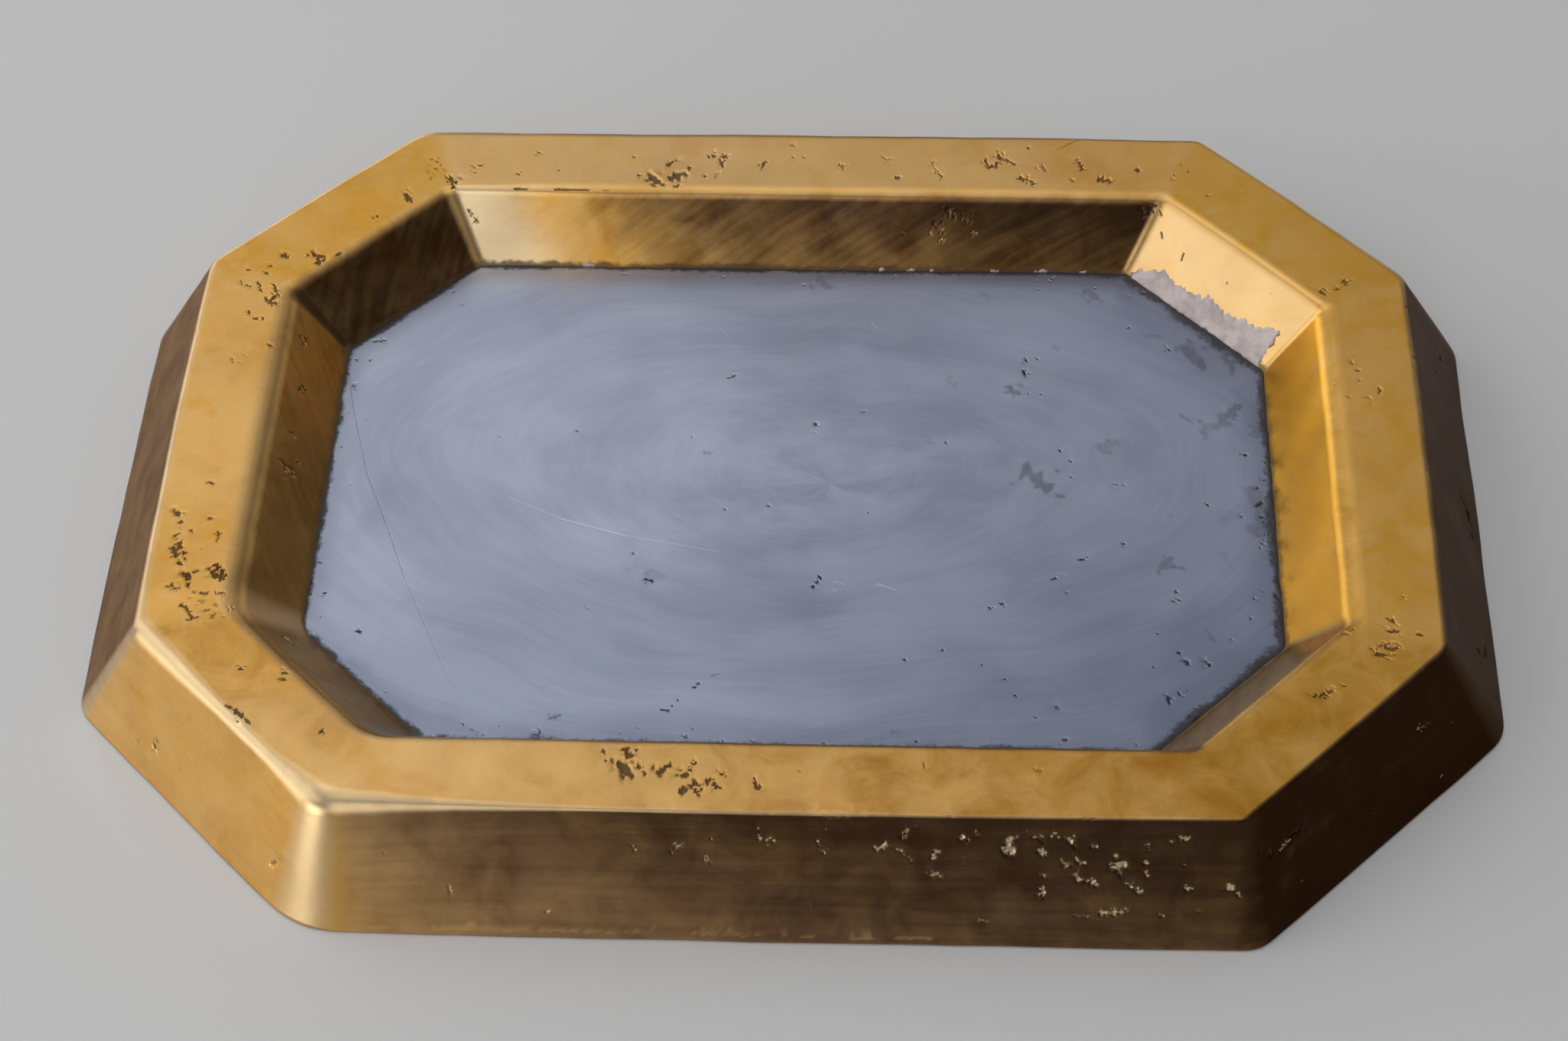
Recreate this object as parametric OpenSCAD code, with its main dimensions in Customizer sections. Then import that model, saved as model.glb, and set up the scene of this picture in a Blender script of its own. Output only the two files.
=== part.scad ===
// Valet tray: a cast brass frame, octagonal in plan, with an aluminium base cast into it.
// Units are millimetres. +Z is up, +X runs along the tray, and the origin is on the
// surface that the tray stands on, under the middle of its outline.
//
// Every wall of the frame is one flat facet, so the outer shape, the pocket and the
// core are each the common part of four prisms: one for the ends, one for the long
// sides and two for the cut corners.

/* [Overall] */
// Length over the foot of the frame
tray_l = 220; // [180:1:260]
// Width over the foot of the frame
tray_w = 159; // [130:1:190]
// Height of the frame
tray_h = 20; // [16:0.5:26]
// Leg of the 45 degree corner cut at the foot
tray_cut = 39; // [30:0.5:46]

/* [Rim top] */
// Length over the outer edge of the flat top
top_l = 196; // [170:1:200]
// Width over the outer edge of the flat top
top_w = 140; // [120:1:146]
// Leg of the corner cut at the outer edge of the top
top_cut = 31.5; // [26:0.5:34]

/* [Pocket] */
// Length over the pocket's upper edge
pocket_l = 168.5; // [150:0.5:172]
// Width over the pocket's upper edge
pocket_w = 113.5; // [98:0.5:117]
// Leg of the corner cut at the pocket's upper edge
pocket_cut = 24; // [20:0.5:27]
// Length of the floor inside the frame
floor_l = 151.5; // [136:0.5:155]
// Width of the floor inside the frame
floor_w = 100.5; // [88:0.5:103]
// Leg of the corner cut at the floor
floor_cut = 21.5; // [18:0.5:24]
// Height of the floor above the table
floor_z = 8.8; // [7:0.2:11]
// Shift of the pocket towards the front, as on the hand-made pattern
pocket_shift = 1.1; // [0:0.1:2]

/* [Casting] */
// Thickness of the frame's outer wall, measured level
outer_wall = 5.5; // [4:0.5:7]
// Thickness of the frame's top
top_wall = 4.5; // [3.5:0.5:6]
// Thickness of the frame's inner wall, measured level
inner_wall = 4.5; // [3.5:0.5:5.5]
// Height at which the inner wall ends, buried in the base
foot_z = 4; // [3:0.5:5]
// Width of the lip that turns in under the base and holds it
lip_w = 2.5; // [1:0.5:3.5]
// Height of that lip
lip_h = 2.2; // [1.5:0.1:3]

/* [Edges] */
// Radius of the outer top edge
edge_r = 1.8; // [0.8:0.1:2.5]
// Radius of the pocket's upper edge
pocket_r = 1.5; // [0.8:0.1:2.5]
// Radius of the edge at the foot
foot_r = 0.8; // [0.4:0.1:1.2]

/* [Hidden] */
long = 400;             // longer than any prism has to be
arc_steps = 6;          // flats in each rounded edge
under_z = foot_z - 1;   // the pocket is cut down to here, inside the slab
brass = [0.80, 0.58, 0.27];
alu = [0.55, 0.57, 0.63];

// Half sizes of an outline: along X, along Y and square to the cut corner
function halves(l, w, cut) = [l / 2, w / 2, ((l + w) / 2 - cut) / sqrt(2)];
foot = halves(tray_l, tray_w, tray_cut);
top = halves(top_l, top_w, top_cut);
mouth = halves(pocket_l, pocket_w, pocket_cut);
base = halves(floor_l, floor_w, floor_cut);

// Half size at height z on the straight wall from u at zu to v at zv
function at(u, zu, v, zv, z) = u + (v - u) * (z - zu) / (zv - zu);

function unit(v) = v / norm(v);
// Arc of radius r that rounds corner b between a and c, as steps + 1 points
function round_corner(a, b, c, r, steps) =
    let (p = unit(a - b), q = unit(c - b),
         half = acos(p * q) / 2,
         m = b + unit(p + q) * r / sin(half),
         s = b + p * r / tan(half) - m,
         e = b + q * r / tan(half) - m,
         turn = atan2(s[0] * e[1] - s[1] * e[0], s * e))
    [for (i = [0 : steps]) let (g = turn * i / steps)
        m + [s[0] * cos(g) - s[1] * sin(g), s[0] * sin(g) + s[1] * cos(g)]];

// Closed outline made from its right half, given from the bottom to the top
function both(half) = concat(half, [for (i = [len(half) - 1 : -1 : 0]) [-half[i][0], half[i][1]]]);

// Right half of the frame's outside, from the foot to the top
function outside(k) = both(concat(
    round_corner([0, 0], [foot[k], 0], [top[k], tray_h], foot_r, 3),
    round_corner([foot[k], 0], [top[k], tray_h], [0, tray_h], edge_r, arc_steps)));

// Right half of the pocket's air, wider by grow and reaching down to z
function air(k, z, grow, r) = both(concat(
    [[at(base[k], floor_z, mouth[k], tray_h, z) + grow, z]],
    r > 0 ? round_corner([base[k], floor_z], [mouth[k], tray_h], [mouth[k] + 9, tray_h], r, arc_steps)
          : [[mouth[k] + grow, tray_h]],
    r > 0 ? [[mouth[k] + 9, tray_h], [mouth[k] + 9, tray_h + 5]]
          : [[at(base[k], floor_z, mouth[k], tray_h, tray_h + 5) + grow, tray_h + 5]]));

// Right half of the core that the aluminium fills, inside the outer wall and above its lip
function core(k) = both([
    [foot[k] - outer_wall - lip_w, 0],
    [at(foot[k], 0, top[k], tray_h, lip_h) - outer_wall - lip_w, lip_h],
    [at(foot[k], 0, top[k], tray_h, lip_h + 1) - outer_wall, lip_h + 1],
    [at(foot[k], 0, top[k], tray_h, tray_h - top_wall) - outer_wall, tray_h - top_wall]]);

// Common part of the four prisms whose outlines are ends, sides and corners
module facets(ends, sides, corners) {
    intersection() {
        rotate([90, 0, 0]) linear_extrude(long, center = true) polygon(ends);
        rotate([90, 0, 90]) linear_extrude(long, center = true) polygon(sides);
        rotate([90, 0, 45]) linear_extrude(long, center = true) polygon(corners);
        rotate([90, 0, -45]) linear_extrude(long, center = true) polygon(corners);
    }
}

// Everything between the inner walls, open at the top, with the pocket's upper edge rounded
module pocket() {
    translate([0, -pocket_shift, 0])
        facets(air(0, under_z, 0, pocket_r), air(1, under_z, 0, pocket_r), air(2, under_z, 0, pocket_r));
}

// Everything that the inner wall and the pocket take up, above the wall's buried foot
module inner_wall_and_pocket() {
    translate([0, -pocket_shift, 0])
        facets(air(0, foot_z, inner_wall, 0), air(1, foot_z, inner_wall, 0), air(2, foot_z, inner_wall, 0));
}

// The aluminium outside the inner wall: a slab under the frame and a rib that fills its channel
module slab_and_rib() {
    difference() {
        facets(core(0), core(1), core(2));
        inner_wall_and_pocket();
    }
}

// Floor plate between the inner walls, from inside the slab up to the floor
module plate() {
    intersection() {
        translate([0, -pocket_shift, 0])
            facets(air(0, under_z, 0, 0), air(1, under_z, 0, 0), air(2, under_z, 0, 0));
        translate([-tray_l / 2, -tray_w / 2, 0]) cube([tray_l, tray_w, floor_z]);
    }
}

module brass_frame() {
    color(brass) difference() {
        facets(outside(0), outside(1), outside(2));
        pocket();
        slab_and_rib();
    }
}

module aluminium_base() {
    color(alu) {
        slab_and_rib();
        plate();
    }
}

brass_frame();
aluminium_base();
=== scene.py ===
import math
import bpy
import numpy as np
from mathutils import Matrix, Vector
from mathutils.geometry import delaunay_2d_cdt


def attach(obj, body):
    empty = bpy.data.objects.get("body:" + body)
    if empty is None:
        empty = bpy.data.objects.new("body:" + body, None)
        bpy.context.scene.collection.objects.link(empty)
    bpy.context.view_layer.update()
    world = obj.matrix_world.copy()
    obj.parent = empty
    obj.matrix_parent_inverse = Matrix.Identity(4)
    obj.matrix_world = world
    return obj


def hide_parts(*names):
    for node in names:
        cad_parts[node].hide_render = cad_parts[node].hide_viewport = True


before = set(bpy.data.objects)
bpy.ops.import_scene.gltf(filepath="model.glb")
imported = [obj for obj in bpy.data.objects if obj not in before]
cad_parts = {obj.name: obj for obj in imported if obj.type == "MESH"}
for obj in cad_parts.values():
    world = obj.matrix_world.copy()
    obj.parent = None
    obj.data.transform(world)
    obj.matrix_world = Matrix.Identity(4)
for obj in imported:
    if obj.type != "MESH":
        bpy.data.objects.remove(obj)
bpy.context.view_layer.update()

# ---------------------------------------------------------------- shape, in millimetres
# Eight facets anticlockwise from the front: F, FR, R, BR, B, BL, L, FL
NAMES = ["F", "FR", "R", "BR", "B", "BL", "L", "FL"]
ANG = np.radians([-90, -45, 0, 45, 90, 135, 180, 225])
NRM = np.stack([np.cos(ANG), np.sin(ANG)], 1)
RUN = np.stack([-np.sin(ANG), np.cos(ANG)], 1)
TOP_Z, FLOOR_Z, FOOT_Z = 20.0, 8.8, 4.0

# Distance of each facet from the origin at four levels, as the hand-finished casting has them
D_FOOT = np.array([79.55, 105.90, 109.55, 106.40, 79.50, 106.40, 110.00, 106.25])
D_TOP = np.array([70.05, 96.50, 98.10, 96.40, 70.10, 96.10, 97.85, 96.50])
D_MOUTH = np.array([58.10, 83.65, 84.55, 81.85, 55.90, 82.15, 84.00, 83.85])
D_BASE = np.array([51.35, 75.10, 75.95, 73.00, 49.15, 73.95, 75.50, 74.65])


def outer_at(z):
    return D_FOOT + (D_TOP - D_FOOT) * z / TOP_Z


def inner_at(z):
    return D_BASE + (D_MOUTH - D_BASE) * (z - FLOOR_Z) / (TOP_Z - FLOOR_Z)


# The corners of the frame's section: height, distance of each facet
SEC_Z = np.array([0, 20, 20, 4, 4, 15.5, 15.5, 3.2, 2.2, 0.0])
SEC_D = np.stack([D_FOOT, D_TOP, D_MOUTH, inner_at(4), inner_at(4) + 4.5, inner_at(15.5) + 4.5,
                  outer_at(15.5) - 5.5, outer_at(3.2) - 5.5, outer_at(2.2) - 8, outer_at(0) - 8])
# How far each corner of the plan is rounded back along its facets: F/FR, FR/R, R/BR, BR/B, B/BL, BL/L, L/FL, FL/F
LAM = np.array([[2.6, 3.0, 3.0, 3.0, 3.0, 3.0, 2.6, 6.5],
                [1.1, 1.3, 1.6, 1.5, 3.0, 2.0, 1.6, 3.4],
                [1.8, 1.9, 0.9, 1.3, 1.6, 2.0, 5.0, 4.2],
                [1.2, 1.0, 1.0, 1.0, 1.2, 0.9, 2.6, 4.0],
                [1.5] * 8, [1.5] * 8, [1.5] * 8, [1.5] * 8, [1.5] * 8, [1.5] * 8])
# How far each facet bows outward at mid-length
BOW = np.zeros((10, 8))
BOW[1] = [0.50, 0.15, 0.25, 0.10, 0.20, 0.15, 0.45, 0.20]
BOW[0] = [0.20, 0.10, 0.10, 0.10, 0.10, 0.10, 0.20, 0.15]
BOW[2] = [0.10, 0.05, 0.20, 0.15, 0.10, 0.10, 0.15, 0.10]

# The grid that wraps the frame: (kind, facet, cells) round it and (kind, corners, cells) across its section
S_CELLS = []
for k in range(8):
    S_CELLS.append(("flat", k, (96, 38, 54, 38)[k % 4]))
    S_CELLS.append(("turn", k, 7))
T_CELLS = [("line", 0, 1, 16), ("bend", 1, 7), ("line", 1, 2, 10), ("bend", 2, 6), ("line", 2, 3, 13),
           ("line", 3, 4, 1), ("line", 4, 5, 1), ("line", 5, 6, 2), ("line", 6, 7, 1), ("line", 7, 8, 1),
           ("line", 8, 9, 1), ("line", 9, 0, 2), ("bend", 0, 4)]
SIDE = {(0, 1): 23.0, (1, 2): 13.5, (2, 3): 20.1, (9, 0): 8.0}  # rough lengths of the section's sides
N_S = sum(c[2] for c in S_CELLS)
N_T = sum(c[-1] for c in T_CELLS)
S_START = np.cumsum([0] + [c[2] for c in S_CELLS])
T_START = np.cumsum([0] + [c[-1] for c in T_CELLS])


def stops(n, soft):
    """n cells from 0 to 1, with a narrow one at each end where the flat meets a bend."""
    if soft and n >= 6:
        return np.r_[0, 0.012, np.linspace(0.04, 0.96, n - 3), 0.988, 1]
    return np.linspace(0, 1, n + 1)


S_STOPS = [stops(c[2], c[0] == "flat") for c in S_CELLS]
T_STOPS = [stops(c[-1], c[0] == "line" and c[-1] > 8) for c in T_CELLS]


def locate(x, start, cells, table):
    """Which run of cells each x lies in, and its place from 0 to 1 along that run."""
    which = np.clip(np.searchsorted(start, x, side="right") - 1, 0, len(cells) - 1)
    u = np.zeros_like(x, dtype=float)
    for i in range(len(cells)):
        m = which == i
        if m.any():
            u[m] = np.interp(x[m] - start[i], np.arange(len(table[i])), table[i])
    return which, u


def round_the_tray(points):
    """A value given at (facet, place along it) pairs, as a function of s that closes on itself."""
    xs, ys = [], []
    for facet, place, value in points:
        i = 2 * NAMES.index(facet)
        xs.append(S_START[i] + np.interp(place, S_STOPS[i], np.arange(len(S_STOPS[i]))))
        ys.append(value)
    order = np.argsort(xs)
    return np.array(xs)[order], np.array(ys)[order]


# Size of the rounding on the outer top edge and on the pocket's edge, round the tray
EDGE_OUT = round_the_tray([("F", 0, 2.9), ("F", 0.05, 2.1), ("F", 0.13, 1.2), ("F", 0.28, 0.6), ("F", 0.6, 0.45), ("F", 1, 0.5),
                           ("FR", 0, 0.5), ("FR", 1, 0.7), ("R", 0, 0.8), ("R", 1, 0.9), ("BR", 0, 0.9), ("BR", 1, 0.8),
                           ("B", 0, 0.9), ("B", 1, 1.5), ("BL", 0, 1.2), ("BL", 1, 0.9), ("L", 0, 0.9), ("L", 0.9, 1.1),
                           ("FL", 0, 2.6), ("FL", 0.2, 2.4), ("FL", 0.5, 1.6), ("FL", 0.8, 1.6), ("FL", 1, 2.9)])
EDGE_IN = round_the_tray([("F", 0, 1.4), ("F", 0.2, 0.9), ("F", 1, 0.9), ("FR", 0, 1.1), ("FR", 1, 1.6), ("R", 0, 2.2), ("R", 1, 2.2),
                          ("BR", 0, 1.2), ("BR", 1, 1.3), ("B", 0, 1.7), ("B", 0.8, 1.6), ("B", 1, 0.9), ("BL", 0, 1.2), ("BL", 1, 1.6),
                          ("L", 0, 2.4), ("L", 1, 2.6), ("FL", 0, 2.0), ("FL", 1, 1.5)])


def corner_of(d, k):
    """Where facets k and k + 1 meet, for distances d of shape (n, 8) and facet numbers k."""
    j = (k + 1) % 8
    a, b = NRM[k], NRM[j]
    det = a[:, 0] * b[:, 1] - a[:, 1] * b[:, 0]
    r = np.arange(len(k))
    p, q = d[r, k], d[r, j]
    return np.stack([(p * b[:, 1] - q * a[:, 1]) / det, (a[:, 0] * q - b[:, 0] * p) / det], 1)


def section(s, t):
    """Share of each section corner in the point at (s, t), and which run of the section it is in."""
    which, u = locate(t % N_T, T_START, T_CELLS, T_STOPS)
    e_out = np.interp(s, *EDGE_OUT, period=N_S)
    e_in = np.interp(s, *EDGE_IN, period=N_S)
    back = {0: np.full_like(s, 0.7), 1: e_out, 2: e_in}
    w = np.zeros((len(s), 10))
    for i, c in enumerate(T_CELLS):
        m = np.flatnonzero(which == i)
        if not len(m):
            continue
        v = u[m]
        if c[0] == "line":
            a, b = c[1], c[2]
            size = SIDE.get((a, b), 10.0)
            fa = back[a][m] / size if a in back else 0 * v
            fb = 1 - back[b][m] / size if b in back else 0 * v + 1
            f = fa + (fb - fa) * v
            w[m, a], w[m, b] = 1 - f, f
        else:
            k = c[1]
            p, q = (k - 1) % 10, (k + 1) % 10
            fa = back[k][m] / SIDE[(p, k)]
            fb = back[k][m] / SIDE[(k, q)]
            w[m, p] += (1 - v) ** 2 * fa
            w[m, k] += (1 - v) ** 2 * (1 - fa) + 2 * v * (1 - v) + v**2 * (1 - fb)
            w[m, q] += v**2 * fb
    return w, which, u


def skin(s, t):
    """Points of the frame's surface at grid places s (round it) and t (across its section), before any dents."""
    s, t = np.asarray(s, float) % N_S, np.asarray(t, float)
    w, tw, tu = section(s, t)
    which, u = locate(s, S_START, S_CELLS, S_STOPS)
    d = w @ SEC_D
    lam = w @ LAM
    r = np.arange(len(s))
    k = which // 2
    out = np.zeros((len(s), 3))
    out[:, 2] = w @ SEC_Z
    flat = which % 2 == 0
    prev = (k - 1) % 8
    bow = (w @ BOW)[r, k] * 4 * u * (1 - u)
    a = corner_of(d, prev) + lam[r, prev][:, None] * RUN[k]
    b = corner_of(d, k) - lam[r, k][:, None] * RUN[k]
    p = a + (b - a) * u[:, None] + NRM[k] * bow[:, None]
    j = (k + 1) % 8
    c = corner_of(d, k)
    e = c + lam[r, k][:, None] * RUN[j]
    v = u[:, None]
    q = (1 - v) ** 2 * b + 2 * v * (1 - v) * c + v**2 * e
    out[:, :2] = np.where(flat[:, None], p, q)
    return out, (which, u, tw, tu)


def waves(p, seed, length, count=14):
    """Smooth seeded noise of about unit size, with features about length across."""
    rng = np.random.default_rng(seed)
    total = np.zeros(len(p))
    for _ in range(count):
        way = rng.normal(size=p.shape[1])
        way *= rng.uniform(0.6, 1.5) * 2 * np.pi / length / np.linalg.norm(way)
        total += np.sin(p @ way + rng.uniform(0, 2 * np.pi))
    return total * np.sqrt(2.0 / count)


def rough(p, seed, length, octaves=3):
    """Several sizes of waves added up."""
    return sum(waves(p, seed + 17 * i, length / 2.1**i) * 0.55**i for i in range(octaves))


def worked(p):
    """How far hand filing and polishing left the surface off true, in millimetres."""
    return 0.055 * waves(p, 3, 34) + 0.022 * waves(p, 5, 13) + 0.006 * waves(p, 8, 5)


def framed(s, t):
    """Surface points with the slow unevenness of the finish, and their outward normals."""
    e = 0.04
    p, where = skin(s, t)
    du = skin(s + e, t)[0] - skin(s - e, t)[0]
    dv = skin(s, t + e)[0] - skin(s, t - e)[0]
    n = np.cross(du, dv)
    n /= np.maximum(np.linalg.norm(n, axis=1), 1e-12)[:, None]
    seen = (where[2] <= 4) | (where[2] == 12)
    return p + n * (worked(p) * seen)[:, None], n, where


# Marks of the casting and of use. On the flat top and the floor: both ends in the plan, radius and strength.
# On a wall: both ends in space, radius and strength. w is the outer wall and i the inner one.
MARKS = {
    ("top", "pit"): [
        (-25.7, -59.8, -25.4, -60.5, 0.14, 1), (-25.1, -61.8, -25.1, -62.0, 0.11, 1), (-22.3, -60.0, -21.5, -61.0, 0.37, 1),
        (-23.1, -62.6, -22.3, -63.0, 0.45, 1), (-22.8, -63.7, -20.9, -64.2, 0.34, 1), (-20.4, -62.6, -20.0, -63.0, 0.20, 1),
        (-19.5, -63.7, -19.1, -64.1, 0.17, 1), (-17.4, -63.9, -16.7, -63.2, 0.31, 1), (-16.5, -62.7, -15.6, -62.4, 0.23, 1),
        (-14.0, -64.2, -13.2, -63.8, 0.28, 1), (-13.0, -63.2, -12.5, -63.3, 0.14, 1), (-12.5, -62.2, -12.1, -62.1, 0.17, 1),
        (-14.0, -67.2, -13.0, -66.4, 0.31, 1), (-12.6, -66.1, -11.8, -65.5, 0.31, 1), (-11.9, -66.8, -11.6, -67.2, 0.20, 1),
        (-11.5, -67.4, -11.1, -67.7, 0.14, 1), (-10.4, -65.5, -9.8, -64.8, 0.22, 1), (-9.3, -65.3, -8.7, -66.3, 0.25, 1),
        (-8.3, -63.8, -8.0, -63.9, 0.17, 1), (-3.4, -65.1, -2.7, -66.5, 0.22, 1), (2.8, -63.0, 3.2, -63.0, 0.11, 0.5),
        (20.9, -61.0, 21.0, -62.0, 0.11, 0.5), (37.4, -62.1, 37.7, -62.1, 0.17, 0.5), (90.2, -33.6, 90.7, -33.7, 0.15, 1),
        (89.5, -35.6, 91.2, -35.4, 0.20, 1), (93.9, -36.0, 94.5, -36.1, 0.20, 1), (83.3, -35.9, 83.7, -36.2, 0.20, 0.6),
        (84.0, -35.3, 84.6, -35.0, 0.13, 0.6), (87.8, -38.4, 89.9, -37.7, 0.18, 0.7), (87.5, -39.6, 88.7, -40.0, 0.23, 1),
        (89.8, -39.1, 90.6, -38.6, 0.20, 1), (89.0, -38.6, 89.9, -38.9, 0.30, 1), (90.8, -38.1, 91.3, -38.3, 0.13, 0.7),
        (86.8, -38.7, 87.3, -39.4, 0.15, 0.7), (77.7, -48.0, 78.4, -47.5, 0.17, 1), (78.9, -47.6, 79.5, -47.3, 0.20, 1),
        (80.0, -47.0, 80.6, -46.8, 0.17, 1), (82.2, -45.9, 82.5, -45.7, 0.10, 1), (-29.7, 64.3, -29.2, 64.0, 0.17, 0.6),
        (-28.5, 59.7, -28.3, 59.7, 0.17, 1),
        (-23.8, 62.4, -22.8, 63.2, 0.23, 1), (-22.0, 57.1, -21.8, 57.1, 0.20, 1), (-20.1, 61.8, -19.9, 61.5, 0.20, 1),
        (-17.3, 59.8, -17.1, 59.6, 0.17, 1), (-17.0, 64.9, -16.7, 64.2, 0.17, 1), (-16.2, 64.9, -15.8, 64.6, 0.23, 1),
        (-14.7, 63.6, -14.4, 62.2, 0.26, 1), (-14.4, 64.4, -14.0, 64.6, 0.23, 1), (-15.4, 60.2, -15.2, 60.1, 0.14, 1),
        (-7.6, 62.5, -7.2, 63.5, 0.23, 1), (-2.8, 67.6, -2.5, 67.4, 0.15, 1), (-0.8, 64.7, -0.7, 64.6, 0.15, 1), (-2.6, 64.8, -2.4, 64.6, 0.12, 1),
        (5.4, 62.9, 6.0, 62.3, 0.17, 0.7), (5.9, 62.1, 6.3, 62.8, 0.14, 0.7), (12.7, 65.1, 13.2, 64.4, 0.14, 0.6),
        (13.2, 64.2, 14.4, 64.6, 0.14, 0.6), (15.0, 60.1, 15.5, 59.8, 0.23, 1), (21.1, 64.0, 21.4, 62.6, 0.14, 0.6),
        (22.3, 60.9, 22.7, 60.3, 0.20, 1), (21.3, 62.6, 22.3, 61.1, 0.12, 0.6), (30.0, 64.5, 30.6, 62.9, 0.20, 1), (30.6, 62.7, 31.9, 62.9, 0.23, 1),
        (31.9, 62.9, 32.1, 64.2, 0.17, 1), (32.2, 65.7, 33.0, 64.8, 0.26, 1), (33.0, 64.8, 35.4, 63.3, 0.17, 1), (37.2, 67.4, 37.3, 67.3, 0.17, 1),
        (35.7, 60.3, 37.2, 59.7, 0.26, 1), (37.6, 59.7, 38.2, 58.6, 0.20, 1), (38.6, 62.9, 39.0, 62.0, 0.12, 0.6),
        (39.6, 63.7, 40.3, 61.7, 0.14, 0.7), (45.7, 64.7, 46.6, 62.0, 0.20, 1), (44.4, 59.8, 45.0, 59.7, 0.17, 0.6),
        (49.0, 60.2, 51.1, 59.9, 0.29, 1), (55.6, 62.5, 55.9, 62.3, 0.23, 1), (-56.1, 61.5, -55.0, 61.6, 0.15, 1),
        (-56.7, 61.3, -56.4, 60.8, 0.12, 1), (-56.9, 60.0, -56.5, 59.9, 0.12, 1), (-60.5, 58.2, -59.3, 57.2, 0.33, 1),
        (-59.9, 57.1, -59.5, 56.1, 0.21, 1), (-67.3, 54.5, -66.8, 53.1, 0.30, 1), (-66.6, 53.1, -66.2, 52.5, 0.21, 1),
        (-71.7, 49.0, -71.5, 48.8, 0.21, 1), (-86.3, 39.8, -85.6, 39.5, 0.29, 1), (-81.2, 39.9, -79.6, 39.4, 0.26, 1),
        (-80.5, 38.9, -79.8, 38.1, 0.23, 1), (-81.5, 40.6, -81.0, 39.9, 0.17, 1), (-82.1, 39.7, -81.9, 39.6, 0.15, 1),
        (-77.3, 40.0, -76.7, 40.5, 0.23, 1), (-88.0, 37.3, -87.8, 37.0, 0.17, 1), (-88.5, 35.7, -88.3, 35.2, 0.14, 1),
        (-91.7, 36.1, -91.3, 36.1, 0.15, 1), (-92.4, 33.8, -91.9, 32.4, 0.12, 0.7), (-91.4, 32.6, -90.5, 32.3, 0.14, 0.7),
        (-89.6, 33.3, -88.8, 32.3, 0.14, 1), (-87.0, 33.3, -85.9, 30.8, 0.14, 1), (-85.9, 30.8, -85.1, 30.0, 0.12, 1),
        (-86.0, 30.6, -87.1, 28.8, 0.20, 1), (-86.9, 28.8, -85.9, 28.5, 0.23, 1), (-87.8, 29.7, -87.4, 29.3, 0.17, 1),
        (-88.8, 31.7, -88.6, 31.3, 0.12, 1), (-90.1, 27.0, -89.8, 25.9, 0.14, 1), (-89.0, 25.1, -88.4, 25.0, 0.17, 1),
        (-87.7, 25.3, -87.4, 25.0, 0.14, 1), (-85.8, 19.4, -84.9, 19.0, 0.17, 1), (-91.3, 16.3, -90.8, 15.0, 0.11, 0.7),
        (-90.3, 15.5, -89.3, 15.2, 0.08, 0.7), (-89.2, 16.8, -89.1, 16.7, 0.11, 0.7), (-49.1, 59.7, -48.7, 59.5, 0.12, 1),
        (-42.1, 60.7, -42.0, 60.5, 0.12, 1), (-46.1, 65.0, -45.9, 64.9, 0.15, 1), (-64.3, 61.5, -64.1, 61.3, 0.09, 1),
        (-63.9, 62.9, -63.7, 62.7, 0.09, 1), (-63.0, 62.4, -62.8, 62.2, 0.12, 1), (-62.3, 61.5, -62.2, 61.4, 0.09, 1),
        (-63.2, 60.7, -62.9, 60.4, 0.12, 1), (-64.3, 59.8, -64.1, 59.6, 0.12, 1), (-61.6, 60.4, -61.4, 60.1, 0.09, 1),
        (-63.3, 59.3, -63.1, 59.1, 0.09, 1), (-62.7, 63.1, -62.6, 63.3, 0.09, 1), (-64.9, 60.6, -64.7, 60.5, 0.09, 1),
        (-63.6, 58.1, -63.4, 57.9, 0.12, 1), (-82.0, -53.2, -80.7, -53.8, 0.13, 1), (-80.7, -53.8, -78.8, -55.5, 0.23, 1),
        (-78.8, -55.5, -77.6, -56.6, 0.13, 1), (-80.7, -46.4, -80.4, -46.6, 0.18, 1), (-74.1, -46.8, -73.7, -47.1, 0.20, 0.8),
        (-74.2, -48.1, -73.7, -48.4, 0.18, 0.8), (-67.1, -57.6, -66.8, -57.8, 0.17, 1), (-91.0, -10.0, -90.2, -10.4, 0.15, 1),
        (-92.5, -13.3, -92.2, -13.9, 0.07, 0.4), (-95.0, -16.2, -94.6, -16.8, 0.24, 1), (-94.5, -18.6, -94.1, -18.1, 0.14, 1),
        (-94.1, -17.8, -93.7, -18.6, 0.10, 1), (-94.1, -19.2, -93.8, -19.7, 0.12, 0.5), (-94.5, -21.1, -94.2, -20.7, 0.22, 1),
        (-92.2, -19.6, -91.9, -20.6, 0.14, 1), (-90.0, -17.4, -89.1, -17.5, 0.11, 1), (-88.1, -20.0, -87.7, -21.0, 0.14, 1),
        (-87.7, -21.1, -87.9, -22.1, 0.12, 1), (-90.0, -23.6, -89.9, -23.7, 0.10, 0.4), (-88.7, -23.9, -88.6, -24.0, 0.10, 0.4),
        (-93.7, -22.2, -93.2, -23.7, 0.29, 1), (-94.4, -23.4, -93.8, -24.6, 0.26, 1), (-93.9, -24.8, -93.6, -25.3, 0.24, 1),
        (-92.8, -24.3, -92.4, -24.6, 0.17, 1), (-93.1, -26.5, -92.4, -26.8, 0.21, 1), (-92.3, -25.5, -92.2, -25.9, 0.14, 1),
        (-91.3, -28.3, -91.0, -29.7, 0.36, 1.2), (-91.0, -30.3, -90.9, -31.0, 0.17, 1), (-87.8, -28.0, -87.0, -29.1, 0.26, 1.3),
        (-87.0, -27.0, -86.9, -27.3, 0.29, 1.3), (-86.3, -27.6, -86.0, -28.8, 0.24, 1.2), (-87.2, -28.5, -86.2, -29.1, 0.31, 1.3),
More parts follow.
